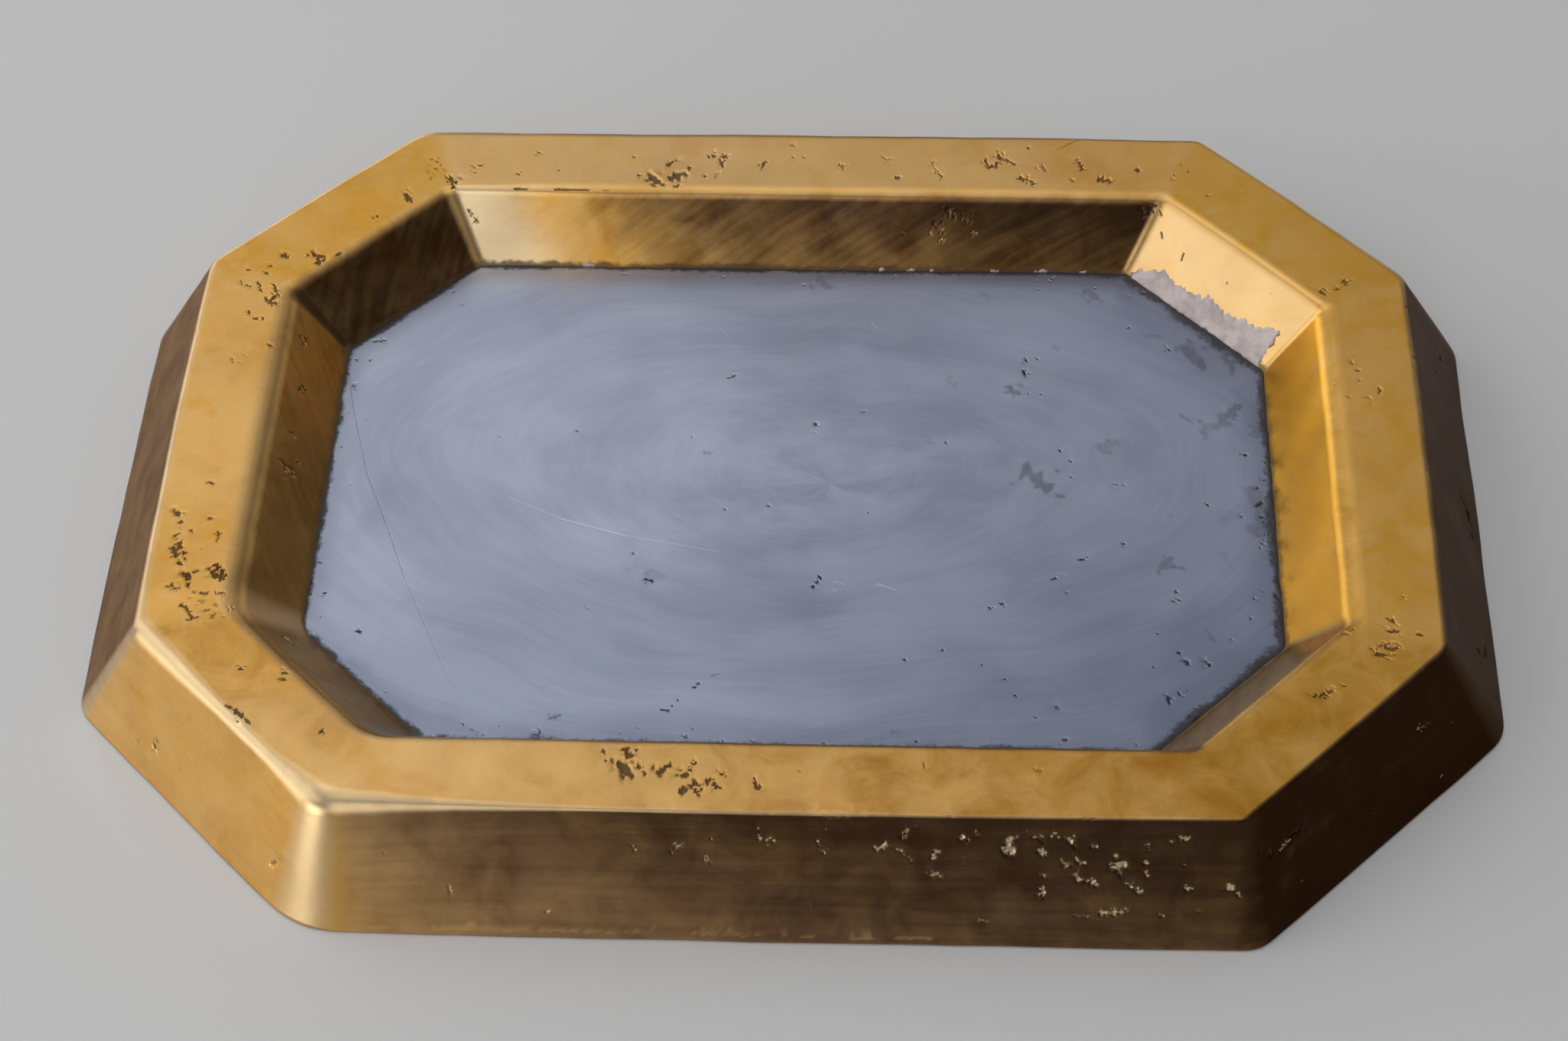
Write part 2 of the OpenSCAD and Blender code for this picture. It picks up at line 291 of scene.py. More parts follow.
        (-85.5, -28.5, -85.4, -28.6, 0.10, 1), (-93.7, -30.8, -93.3, -31.0, 0.19, 1), (-93.1, -31.4, -92.5, -31.5, 0.17, 1),
        (-92.2, -30.9, -92.0, -31.2, 0.12, 0.5), (-90.0, -32.1, -89.6, -32.3, 0.11, 1), (-88.9, -32.2, -87.7, -32.3, 0.14, 1),
        (-86.2, -32.3, -85.3, -31.9, 0.14, 1), (-91.7, -34.4, -90.8, -35.0, 0.17, 1), (-90.8, -35.0, -90.0, -36.0, 0.14, 1),
        (-90.0, -36.0, -89.3, -37.1, 0.16, 1.2), (-89.3, -37.1, -88.5, -36.8, 0.12, 1), (-90.3, -37.5, -89.4, -37.4, 0.09, 1),
        (-90.7, -33.3, -89.9, -33.1, 0.09, 0.5), (-88.8, -33.6, -88.0, -33.9, 0.19, 0.5), (-87.7, -35.4, -87.2, -35.5, 0.19, 0.6),
        (-86.4, -36.4, -86.0, -36.0, 0.24, 0.6), (-86.4, -34.3, -86.0, -34.5, 0.19, 0.5), (-84.2, -33.3, -84.0, -33.6, 0.12, 0.4),
        (-84.1, -35.4, -83.8, -34.5, 0.19, 0.5), (-84.9, -36.6, -84.4, -36.8, 0.09, 0.5), (-87.4, -37.7, -87.2, -37.9, 0.09, 0.5),
        (-80.8, -46.5, -80.5, -46.4, 0.12, 1), (88.3, 19.2, 88.4, 18.7, 0.14, 0.7), (88.9, 17.1, 89.4, 17.1, 0.14, 1),
        (89.2, 15.2, 89.3, 15.0, 0.11, 1), (85.0, 14.4, 85.3, 14.0, 0.11, 1), (87.2, 11.5, 87.3, 11.4, 0.11, 1), (92.2, 13.1, 92.3, 12.6, 0.18, 1),
        (90.4, 11.3, 90.6, 11.1, 0.14, 0.7), (90.6, 10.0, 90.7, 9.8, 0.11, 0.7), (92.4, -28.8, 92.5, -29.2, 0.12, 0.7),
        (90.3, -33.3, 90.6, -33.7, 0.20, 1), (84.4, 34.7, 85.2, 34.0, 0.19, 1), (84.9, 35.2, 85.4, 34.8, 0.13, 1), (86.6, 35.1, 87.5, 35.2, 0.15, 1),
        (88.0, 36.9, 89.1, 36.7, 0.17, 1), (88.5, 37.5, 88.7, 35.9, 0.13, 1), (55.6, 62.7, 55.9, 62.4, 0.18, 1), (61.5, 60.4, 61.7, 60.2, 0.11, 0.6),
        (61.8, 61.5, 61.8, 61.3, 0.11, 0.6), (63.0, 64.1, 63.2, 63.8, 0.11, 0.6), (64.1, 62.3, 64.3, 62.1, 0.11, 0.6),
        (67.1, 56.5, 67.5, 56.4, 0.13, 0.6),
    ],
    ("top", "bowl"): [
        (-26.2, 59.3, -25.3, 58.3, 0.85, 1), (-22.9, 59.3, -21.5, 60.1, 0.80, 1),
    ],
    ("top", "line"): [
        (42.2, 67.1, 46.3, 70.0, 0.09, 1),
    ],
    ("wF", "glint"): [
        (-20.8, -72.7, 14.4, -20.3, -73.0, 13.9, 0.28, 1), (-23.1, -72.3, 15.2, -22.6, -72.6, 14.5, 0.17, 0.6),
        (-21.7, -72.4, 15.0, -21.3, -72.4, 15.0, 0.14, 0.6), (-15.3, -72.9, 14.0, -14.2, -72.5, 14.8, 0.34, 1),
        (-13.4, -73.8, 12.0, -12.9, -73.8, 12.2, 0.14, 1), (-9.8, -73.3, 13.2, -9.8, -73.8, 12.0, 0.31, 1),
        (-9.3, -72.1, 15.8, -8.7, -71.8, 16.2, 0.22, 0.7), (-5.2, -70.9, 18.3, -5.0, -71.0, 18.1, 0.20, 1),
        (-3.2, -71.2, 17.6, -2.6, -71.4, 17.1, 0.20, 1), (-2.4, -71.9, 16.2, -0.3, -72.1, 15.7, 0.28, 1),
        (-1.5, -72.1, 15.6, -1.2, -72.3, 15.4, 0.25, 1), (-4.0, -72.2, 15.4, -3.8, -72.3, 15.2, 0.20, 1),
        (5.9, -72.1, 15.6, 6.3, -72.4, 15.1, 0.25, 1), (6.4, -72.7, 14.4, 6.8, -72.8, 14.2, 0.22, 1), (7.4, -72.5, 14.8, 8.2, -72.6, 14.7, 0.28, 1),
        (7.2, -71.3, 17.4, 8.0, -71.2, 17.5, 0.22, 0.6), (14.3, -72.6, 14.6, 15.5, -72.2, 15.5, 0.36, 1),
        (17.5, -72.6, 14.6, 18.2, -72.8, 14.1, 0.25, 1), (17.8, -71.5, 16.9, 18.9, -71.1, 17.8, 0.47, 1),
        (18.8, -73.2, 13.5, 19.2, -73.7, 12.4, 0.22, 0.5), (22.1, -73.3, 13.2, 22.8, -72.5, 14.8, 0.36, 1),
        (22.0, -74.1, 11.4, 23.0, -74.2, 11.3, 0.34, 1), (26.0, -71.6, 16.8, 27.1, -71.7, 16.4, 0.36, 1),
        (26.8, -73.1, 13.6, 26.8, -73.6, 12.6, 0.20, 0.5), (28.2, -71.3, 17.4, 28.5, -71.3, 17.3, 0.20, 1),
        (29.7, -71.9, 16.1, 29.8, -71.9, 16.0, 0.17, 1), (32.2, -72.3, 15.3, 34.1, -72.4, 15.1, 0.36, 1),
        (33.1, -71.5, 16.9, 33.3, -72.7, 14.4, 0.50, 1), (35.3, -71.1, 17.7, 35.7, -70.9, 18.2, 0.22, 0.7),
        (36.8, -71.3, 17.3, 37.5, -71.6, 16.8, 0.25, 1), (37.5, -72.4, 15.0, 38.3, -72.7, 14.5, 0.31, 1),
        (39.3, -71.1, 17.7, 39.9, -71.4, 17.2, 0.25, 1), (41.3, -71.4, 17.2, 42.0, -71.8, 16.4, 0.31, 1),
        (42.2, -71.4, 17.1, 42.3, -71.5, 17.0, 0.17, 1), (40.9, -73.3, 13.2, 41.7, -73.5, 12.8, 0.34, 0.5),
        (42.9, -72.9, 14.0, 43.8, -73.2, 13.4, 0.28, 1), (42.8, -74.0, 11.6, 43.4, -74.6, 10.5, 0.34, 1),
        (44.8, -74.5, 10.6, 45.8, -74.8, 10.1, 0.36, 1), (38.0, -74.2, 11.4, 38.6, -74.3, 11.1, 0.25, 0.6),
        (38.2, -75.0, 9.5, 38.3, -75.7, 8.1, 0.28, 1), (45.2, -72.1, 15.8, 45.8, -72.1, 15.8, 0.25, 1),
        (48.8, -73.5, 12.7, 49.5, -73.2, 13.3, 0.56, 1), (50.5, -74.7, 10.2, 50.9, -74.9, 9.7, 0.25, 1),
        (51.4, -75.0, 9.5, 52.4, -75.3, 9.0, 0.31, 1), (46.2, -76.9, 5.6, 50.6, -76.6, 6.1, 0.31, 0.8),
        (42.9, -77.1, 5.1, 45.2, -77.1, 5.2, 0.17, 0.6), (3.9, -76.8, 5.8, 4.7, -76.8, 5.7, 0.20, 1),
        (-6.5, -74.3, 11.0, -6.2, -74.3, 11.0, 0.17, 1), (28.9, -77.5, 4.3, 30.5, -77.6, 4.0, 0.17, 0.6),
        (57.6, -71.4, 17.2, 58.6, -71.4, 17.1, 0.22, 1), (55.8, -71.6, 16.7, 56.7, -71.7, 16.6, 0.15, 0.7),
        (52.9, -71.6, 16.7, 53.1, -72.4, 15.1, 0.17, 0.7), (52.7, -73.0, 13.8, 53.2, -73.2, 13.3, 0.24, 1),
        (52.8, -73.8, 12.1, 53.1, -74.1, 11.5, 0.22, 1), (58.2, -73.3, 13.2, 58.6, -73.3, 13.1, 0.17, 0.5),
        (58.7, -74.9, 9.7, 59.4, -74.9, 9.7, 0.22, 1), (64.6, -75.0, 9.7, 65.6, -74.9, 9.7, 0.29, 1), (66.2, -75.2, 9.2, 66.5, -75.5, 8.5, 0.15, 1),
        (64.9, -74.7, 10.3, 65.3, -74.8, 10.0, 0.20, 1), (55.2, -76.9, 5.5, 55.9, -77.0, 5.4, 0.22, 0.6),
        (60.6, -76.6, 6.3, 60.9, -76.6, 6.3, 0.15, 0.6), (-47.5, -75.9, 7.7, -47.5, -76.5, 6.5, 0.17, 0.7),
        (-52.4, -75.7, 8.1, -52.7, -76.1, 7.3, 0.17, 0.4), (-46.6, -75.4, 8.7, -46.2, -75.5, 8.6, 0.12, 0.5),
        (-33.6, -77.5, 4.3, -33.3, -77.5, 4.2, 0.20, 1), (-56.8, -73.5, 12.7, -56.5, -73.6, 12.6, 0.17, 0.5),
        (-37.8, -74.1, 11.6, -37.5, -74.1, 11.5, 0.17, 0.5),
    ],
    ("wFR", "glint"): [
        (72.0, -69.9, 11.8, 73.0, -68.8, 12.1, 0.25, 0.7), (73.1, -68.7, 12.1, 74.0, -67.7, 12.2, 0.22, 0.7),
        (93.5, -48.0, 12.5, 95.2, -46.7, 11.9, 0.23, 0.8), (95.7, -46.2, 11.9, 96.3, -46.1, 11.1, 0.18, 0.7),
        (99.5, -44.0, 9.3, 99.9, -43.8, 9.1, 0.15, 0.7), (98.2, -49.5, 3.1, 98.3, -49.5, 2.8, 0.13, 1),
        (75.7, -70.5, 5.3, 76.2, -70.1, 5.2, 0.15, 0.5), (80.1, -62.9, 10.1, 80.3, -62.9, 9.9, 0.12, 0.5),
        (86.9, -58.8, 6.2, 87.2, -58.7, 5.8, 0.13, 0.4), (101.2, -48.7, -0.2, 101.8, -48.2, -0.4, 0.13, 0.4),
    ],
    ("wFL", "pit"): [
        (-95.3, -50.7, 6.2, -95.0, -51.1, 5.9, 0.28, 1), (-98.5, -48.8, 4.3, -98.3, -49.0, 4.3, 0.13, 0.6),
    ],
    ("wL", "glint"): [
        (-104.4, 30.1, 9.3, -103.7, 28.6, 10.5, 0.18, 0.6), (-101.6, 11.3, 13.9, -101.1, 10.2, 14.8, 0.17, 0.5),
        (-102.9, 17.6, 11.9, -102.5, 16.9, 12.4, 0.11, 0.5),
    ],
    ("wR", "pit"): [
        (105.5, 2.3, 7.1, 106.4, 1.2, 5.5, 0.14, 1), (106.4, 1.2, 5.5, 107.1, -0.9, 4.2, 0.18, 1), (107.0, -3.4, 4.4, 107.6, -3.7, 3.3, 0.14, 1),
        (102.8, 0.4, 11.8, 103.0, 0.3, 11.5, 0.11, 1), (106.1, 5.5, 6.0, 106.2, 5.5, 5.8, 0.09, 1),
        (101.5, -4.3, 14.1, 101.9, -4.6, 13.3, 0.09, 0.6), (105.0, 31.1, 8.0, 105.1, 31.0, 7.7, 0.11, 1),
        (107.2, -0.3, 4.0, 108.0, -1.1, 2.7, 0.09, 1),
    ],
    ("iL", "pit"): [
        (-80.4, -2.9, 15.3, -80.2, -3.2, 15.0, 0.27, 1), (-79.4, -0.1, 14.0, -79.3, -0.3, 13.8, 0.17, 1),
        (-80.6, -4.6, 15.5, -80.4, -5.1, 15.3, 0.10, 0.6), (-80.6, 13.5, 15.5, -80.3, 14.3, 15.1, 0.17, 1),
        (-81.5, 24.1, 16.7, -80.8, 23.1, 15.8, 0.23, 0.7), (-80.5, 4.5, 15.4, -80.2, 4.0, 14.9, 0.14, 0.6),
    ],
    ("iFL", "pit"): [
        (-80.7, -28.9, 12.3, -79.8, -30.7, 13.1, 0.19, 0.8), (-76.4, -36.1, 14.8, -75.1, -37.1, 14.5, 0.24, 1),
    ],
    ("iB", "glint"): [
        (-55.9, 53.2, 15.5, -55.7, 52.8, 14.9, 0.27, 1), (-56.7, 53.7, 16.4, -56.4, 53.5, 16.0, 0.24, 1),
        (23.6, 54.5, 17.8, 24.8, 54.2, 17.2, 0.46, 0.3), (26.0, 54.0, 16.8, 27.2, 53.7, 16.3, 0.34, 0.3),
        (20.9, 52.6, 14.5, 21.0, 52.5, 14.4, 0.17, 0.7), (22.8, 52.0, 13.5, 23.1, 51.8, 13.2, 0.26, 0.8),
        (28.1, 52.6, 14.5, 28.6, 52.5, 14.3, 0.23, 0.7), (16.3, 52.5, 14.4, 16.7, 52.4, 14.2, 0.14, 0.6),
        (21.5, 53.3, 15.7, 22.6, 52.9, 15.0, 0.40, 0.3), (20.1, 55.7, 19.7, 20.9, 55.7, 19.6, 0.20, 0.6),
    ],
    ("iB", "crack"): [
        (56.3, 55.0, 18.6, 56.7, 54.5, 17.7, 0.18, 1), (56.6, 54.2, 17.1, 57.5, 54.3, 17.4, 0.18, 1), (57.0, 55.3, 19.1, 58.8, 55.1, 18.6, 0.18, 1),
        (57.6, 54.8, 18.2, 58.7, 54.4, 17.5, 0.15, 1), (-49.2, 56.1, 19.8, -47.2, 56.1, 19.8, 0.22, 0.8), (-42.4, 56.1, 19.8, -40.1, 56.1, 19.8, 0.20, 0.8),
        (-40.1, 56.1, 19.8, -36.6, 56.1, 19.8, 0.17, 0.8), (-34.2, 56.1, 19.8, -33.4, 56.1, 19.8, 0.15, 0.7),
    ],
    ("iBR", "crack"): [
        (58.8, 55.7, 18.8, 59.5, 53.8, 17.8, 0.15, 1),
        (59.5, 51.7, 15.9, 59.7, 50.9, 15.4, 0.13, 1),
        (63.1, 47.4, 15.3, 62.8, 46.7, 14.4, 0.13, 1), (69.9, 40.8, 15.4, 70.0, 40.5, 15.3, 0.11, 1), (76.6, 36.4, 17.5, 76.8, 36.2, 17.5, 0.09, 1),
    ],
    ("floor", "pit"): [
        (-22.7, -19.0, -21.7, -19.3, 0.18, 1), (-25.0, -13.7, -25.0, -13.9, 0.12, 1), (-17.1, 10.9, -17.0, 10.8, 0.13, 0.6),
        (-11.2, 11.5, -11.1, 11.4, 0.16, 1), (2.6, 14.1, 2.8, 13.9, 0.19, 1), (-35.9, 11.8, -35.8, 11.7, 0.16, 0.6),
        (-16.3, -4.9, -16.2, -5.0, 0.12, 1), (-11.1, -4.4, -11.0, -4.6, 0.15, 0.6), (-4.2, -3.5, -4.0, -3.7, 0.19, 0.6),
        (4.3, -17.9, 4.5, -18.0, 0.18, 1), (3.9, -19.0, 4.0, -19.1, 0.15, 1), (3.4, -19.8, 3.6, -19.9, 0.15, 1),
        (-66.4, -30.3, -66.2, -30.4, 0.21, 1), (-11.9, 23.8, -10.8, 24.3, 0.19, 0.7), (-71.2, 31.0, -69.7, 31.2, 0.20, 0.5),
        (-18.6, -44.3, -17.6, -44.4, 0.15, 1), (-17.2, -43.4, -17.0, -43.5, 0.12, 1), (-16.4, -42.5, -16.3, -42.3, 0.12, 1),
        (-14.2, -40.0, -13.8, -39.8, 0.15, 1), (-13.5, -39.3, -13.3, -39.2, 0.15, 1), (-11.4, -37.6, -10.4, -37.2, 0.12, 0.5),
        (-48.5, 10.3, -48.3, 10.2, 0.09, 0.6), (-31.5, -24.9, -31.4, -25.0, 0.12, 0.5), (-21.0, 4.8, -20.9, 4.8, 0.13, 0.4),
        (36.9, 29.1, 37.1, 28.4, 0.17, 1), (38.7, 29.2, 38.8, 29.1, 0.14, 1), (36.6, 26.4, 36.8, 25.4, 0.23, 1), (37.3, 21.3, 37.4, 21.2, 0.11, 1),
        (39.4, 21.2, 39.5, 21.1, 0.11, 1), (2.6, 14.1, 2.7, 13.9, 0.17, 1), (2.8, 12.0, 2.9, 11.9, 0.11, 0.6), (10.1, 16.7, 10.9, 17.1, 0.11, 0.6),
        (23.9, 10.6, 23.9, 10.4, 0.14, 1), (42.2, 9.2, 42.2, 9.0, 0.17, 1), (43.8, 6.9, 43.9, 6.8, 0.14, 1), (43.9, 3.6, 44.0, 3.5, 0.14, 1),
        (50.8, 2.2, 51.1, 2.1, 0.20, 0.5), (52.2, 2.1, 52.3, 2.0, 0.14, 0.6), (65.3, -1.8, 65.5, -1.9, 0.17, 1), (71.6, 8.8, 71.9, 8.6, 0.23, 1),
        (51.8, -10.1, 51.9, -10.2, 0.17, 1), (44.8, -13.5, 45.6, -13.4, 0.16, 1), (40.5, -17.6, 41.0, -17.4, 0.16, 1),
        (42.7, -20.2, 42.8, -20.3, 0.14, 1), (32.6, -22.7, 32.9, -22.6, 0.19, 1), (30.7, -23.5, 31.0, -23.6, 0.16, 1),
        (59.6, -19.5, 59.7, -19.7, 0.16, 1), (60.0, -21.2, 60.2, -21.4, 0.16, 1), (59.0, -21.5, 59.3, -21.6, 0.14, 1),
        (56.5, -28.0, 56.5, -28.1, 0.11, 1), (59.6, -31.6, 59.7, -31.8, 0.21, 1), (60.8, -33.3, 61.0, -33.7, 0.21, 1),
        (64.1, -33.7, 64.2, -33.9, 0.21, 1), (55.6, -34.4, 55.7, -34.5, 0.13, 1), (57.7, -40.0, 57.8, -41.1, 0.21, 1),
        (59.3, -39.4, 59.4, -39.6, 0.21, 1), (61.7, -43.8, 61.9, -43.9, 0.18, 1), (40.8, -42.3, 40.9, -42.4, 0.13, 1),
        (33.1, -37.2, 33.2, -37.3, 0.13, 1), (34.7, -40.3, 34.8, -40.4, 0.13, 1), (23.5, -31.8, 23.6, -31.9, 0.16, 1),
        (17.8, -33.7, 17.9, -33.9, 0.13, 1), (29.6, -34.5, 29.7, -34.6, 0.13, 1), (11.6, -4.6, 11.7, -4.7, 0.11, 1),
        (4.4, -17.9, 4.6, -18.0, 0.16, 1), (4.1, -18.8, 4.2, -19.0, 0.14, 1), (3.4, -19.8, 3.5, -20.0, 0.16, 1), (60.5, 31.7, 60.6, 31.4, 0.20, 1),
        (53.8, 36.4, 54.0, 36.3, 0.15, 1), (67.7, -28.9, 67.9, -29.1, 0.16, 0.5),
    ],
    ("floor", "line"): [
        (-74.7, 24.1, -72.9, 15.9, 0.08, 0.6), (-72.9, 15.9, -68.9, 1.7, 0.08, 0.55), (-68.9, 1.7, -63.7, -10.9, 0.08, 0.55),
        (-63.7, -10.9, -60.6, -19.2, 0.08, 0.5), (-60.6, -19.2, -54.7, -32.2, 0.07, 0.45), (-54.7, -32.2, -50.8, -40.3, 0.07, 0.35),
        (-22.5, -11.3, -21.5, -7.9, 0.06, 0.3),
    ],
    ("floor", "bright"): [
        (-45.6, -2.8, -36.9, -7.1, 0.06, 0.7), (-36.9, -7.1, -26.7, -10.3, 0.07, 1), (-26.7, -10.3, -11.7, -13.3, 0.06, 0.6),
        (-13.4, 34.5, -12.3, 32.7, 0.07, 0.4), (-20.6, -4.5, -17.6, -6.9, 0.06, 0.3), (-41.5, -37.7, -37.1, -40.0, 0.06, 0.3),
        (6.2, -18.9, 7.4, -19.0, 0.09, 0.5), (12.4, -19.6, 14.6, -19.6, 0.08, 0.7), (13.4, -19.2, 16.3, -20.4, 0.07, 0.8),
        (41.5, -16.2, 42.8, -16.6, 0.06, 0.6), (6.4, -20.4, 7.0, -20.8, 0.08, 0.5), (7.8, -19.2, 8.2, -19.4, 0.11, 0.5),
        (11.3, 36.8, 12.2, 35.4, 0.07, 0.6),
    ],
    ("floor", "stain"): [
        (-35.3, -46.2, -34.1, -45.7, 0.29, 1), (-23.3, -19.1, -21.2, -18.3, 1.34, 0.35), (-15.0, 7.4, -14.2, 7.2, 0.38, 0.4),
        (-25.5, -18.4, -23.3, -14.4, 1.52, 0.2), (34.1, 22.4, 35.2, 21.2, 0.57, 0.9), (37.1, 4.6, 40.0, 1.0, 1.07, 0.9),
        (41.6, -0.5, 42.5, -0.5, 0.39, 0.8), (34.3, 1.7, 34.7, 2.0, 0.17, 0.7), (48.0, 10.3, 50.8, 10.4, 0.96, 0.4),
        (62.7, 32.0, 65.7, 28.1, 0.99, 0.8), (69.8, 29.8, 70.6, 27.8, 0.87, 0.7), (69.8, 17.6, 71.3, 19.3, 0.80, 0.9),
        (65.3, 13.5, 68.6, 15.8, 1.13, 0.6), (61.8, 17.4, 63.7, 15.3, 0.29, 0.5), (57.5, -14.9, 58.9, -13.4, 0.71, 0.7),
        (60.5, -14.8, 61.3, -15.2, 0.38, 0.5), (59.3, -4.0, 59.8, -4.1, 0.56, 0.4), (73.1, 1.3, 74.0, -7.4, 1.95, 0.55),
        (67.6, -4.6, 72.1, -3.1, 1.11, 0.3), (64.0, -27.2, 65.0, -29.4, 0.32, 0.6), (66.7, -10.4, 68.6, -16.0, 0.83, 0.25),
        (67.0, -16.1, 68.4, -14.6, 0.44, 0.4), (24.2, 23.8, 25.4, 23.0, 0.75, 0.35), (17.3, 23.0, 17.9, 22.9, 0.58, 0.3),
        (20.6, 12.1, 21.4, 10.6, 0.74, 0.3), (41.6, 31.6, 41.9, 31.4, 0.58, 0.3), (57.0, 34.7, 59.6, 34.3, 0.47, 0.4),
        (73.8, 18.6, 73.8, 12.5, 0.74, 0.4), (16.2, -47.7, 17.2, -47.8, 0.37, 0.4), (2.1, 46.5, 3.3, 45.0, 0.98, 0.6),
        (4.0, 47.5, 4.3, 47.4, 0.40, 0.4), (47.2, 44.6, 48.6, 43.4, 0.98, 0.6), (29.4, 43.9, 30.8, 43.1, 0.75, 0.3),
        (-8.3, 45.9, -7.1, 45.6, 0.63, 0.3), (-16.5, 47.4, -15.3, 47.0, 0.58, 0.3),
    ],
    ("top", "tint"): [
        (-63.0, -60.5, -58.7, -62.8, 4.10, 0.62), (-70.5, -56.9, -67.3, -58.1, 1.50, 0.5), (-81.5, -44.0, -80.4, -44.3, 1.53, 0.4),
        (-45.4, -64.6, -44.6, -64.4, 0.35, 0.5), (-43.4, -62.4, -41.4, -61.7, 0.40, 0.5), (-35.6, -60.3, -33.6, -60.2, 0.35, 0.4),
        (-71.0, -51.3, -70.3, -51.9, 0.40, 0.4), (29.1, -60.7, 30.0, -60.9, 0.62, 0.6), (34.2, -62.2, 39.8, -62.8, 1.41, 0.6),
        (14.5, -59.9, 24.6, -61.1, 1.41, 0.4), (43.7, -64.0, 49.3, -63.2, 1.40, 0.4), (62.7, -58.3, 64.6, -60.0, 1.08, 0.8),
        (63.6, -61.0, 64.3, -61.4, 0.34, 0.7), (37.2, -61.3, 49.4, -61.7, 1.47, 0.5), (67.4, -53.3, 74.4, -51.3, 1.49, 0.4),
        (87.4, 7.0, 88.2, 6.9, 0.42, 0.6), (88.7, -11.4, 89.4, -11.8, 0.31, 0.4), (95.4, -19.3, 95.9, -20.2, 0.44, 0.4),
        (88.0, 1.4, 88.6, -4.1, 1.58, 0.3), (88.3, -16.8, 88.7, -20.3, 1.54, 0.3), (86.2, 19.5, 87.8, 12.8, 1.08, 0.25),
        (-82.7, 51.5, -74.7, 54.2, 3.55, 0.5), (-64.2, 61.2, -61.6, 59.5, 2.09, 0.4), (-92.2, 34.8, -85.3, 26.9, 1.74, 0.35),
        (-95.5, 37.2, -93.4, 34.8, 1.45, 0.5),
    ],
}


# ---------------------------------------------------------------- marks
# For each kind: depth as a share of the radius, greatest depth, how dark it is inside, finest cell as a share of the
# radius and in millimetres
KINDS = {"pit": (0.85, 0.55, 1.0, 0.60, 0.0), "glint": (0.65, 0.34, 0.05, 0.60, 0.0), "crack": (1.1, 0.30, 1.0, 0.60, 0.0),
         "line": (0.6, 0.12, 0.85, 0.80, 0.0), "dent": (0.30, 0.40, 0.15, 0.35, 0.36), "bowl": (0.55, 0.50, 1.0, 0.30, 0.2), "bright": (0.25, 0.03, 0.0, 1.0, 0.0),
         "stain": (0.0, 0.0, 0.0, 0.45, 0.3), "tint": (0.0, 0.0, 0.0, 0.45, 0.75),
         "rub": (0.0, 0.0, 0.0, 0.60, 0.80)}
FINEST = 4


def rows_of(place, z=None):
    """The marks at a place, as (end, end, radius, strength, kind)."""
    out = []
    for (where, kind), rows in MARKS.items():
        if where != place:
            continue
        for row in rows:
            if z is None:
                a, b = np.array(row[0:3]), np.array(row[3:6])
                if min(a[2], b[2]) < 0.5:
                    continue
            else:
                a, b = np.array([row[0], row[1], z]), np.array([row[2], row[3], z])
            # A pit is rounder than the line that gives its place
            short, wide = {"pit": (0.70, 1.40), "glint": (0.80, 1.35)}.get(kind, (1.0, 1.0)) if where not in ("floor", "iB") else (1.0, 1.0)
            mid, half = (a + b) / 2, (b - a) / 2 * short
            out.append((mid - half, mid + half, row[-2] * wide, row[-1], kind))
    return out


def scattered(facets, count, seed, lo, hi, kind="pit", biggest=0.45):
    """Casting pits in loose clusters on facets of the outer wall, between heights lo and hi."""
    rng = np.random.default_rng(seed)
    out = []
    while len(out) < count:
        k = facets[rng.integers(len(facets))]
        half = (57, 22, 38, 22)[k % 4] * 0.92
        mid = np.array([rng.uniform(-half, half), rng.uniform(lo, hi)])
        for _ in range(rng.integers(2, 9)):
            a, z = mid + rng.normal(0, 1, 2) * [3.4, 1.7]
            if not (lo - 1 < z < hi + 1) or abs(a) > half:
                continue
            r = min(0.11 + rng.exponential(0.10), biggest)
            way = rng.uniform(0, np.pi)
            step = r * rng.uniform(0.2, 2.2) * np.array([np.cos(way), np.sin(way)])
            ends = []
            for sign in (-1, 1):
                x, y = a + sign * step[0], np.clip(z + sign * step[1], 1.2, 18.6)
                d = outer_at(y)[k]
                q = NRM[k] * d + RUN[k] * x
                ends.append(np.array([q[0], q[1], y]))
            out.append((ends[0], ends[1], r, rng.uniform(0.5, 1.0), kind))
    return out


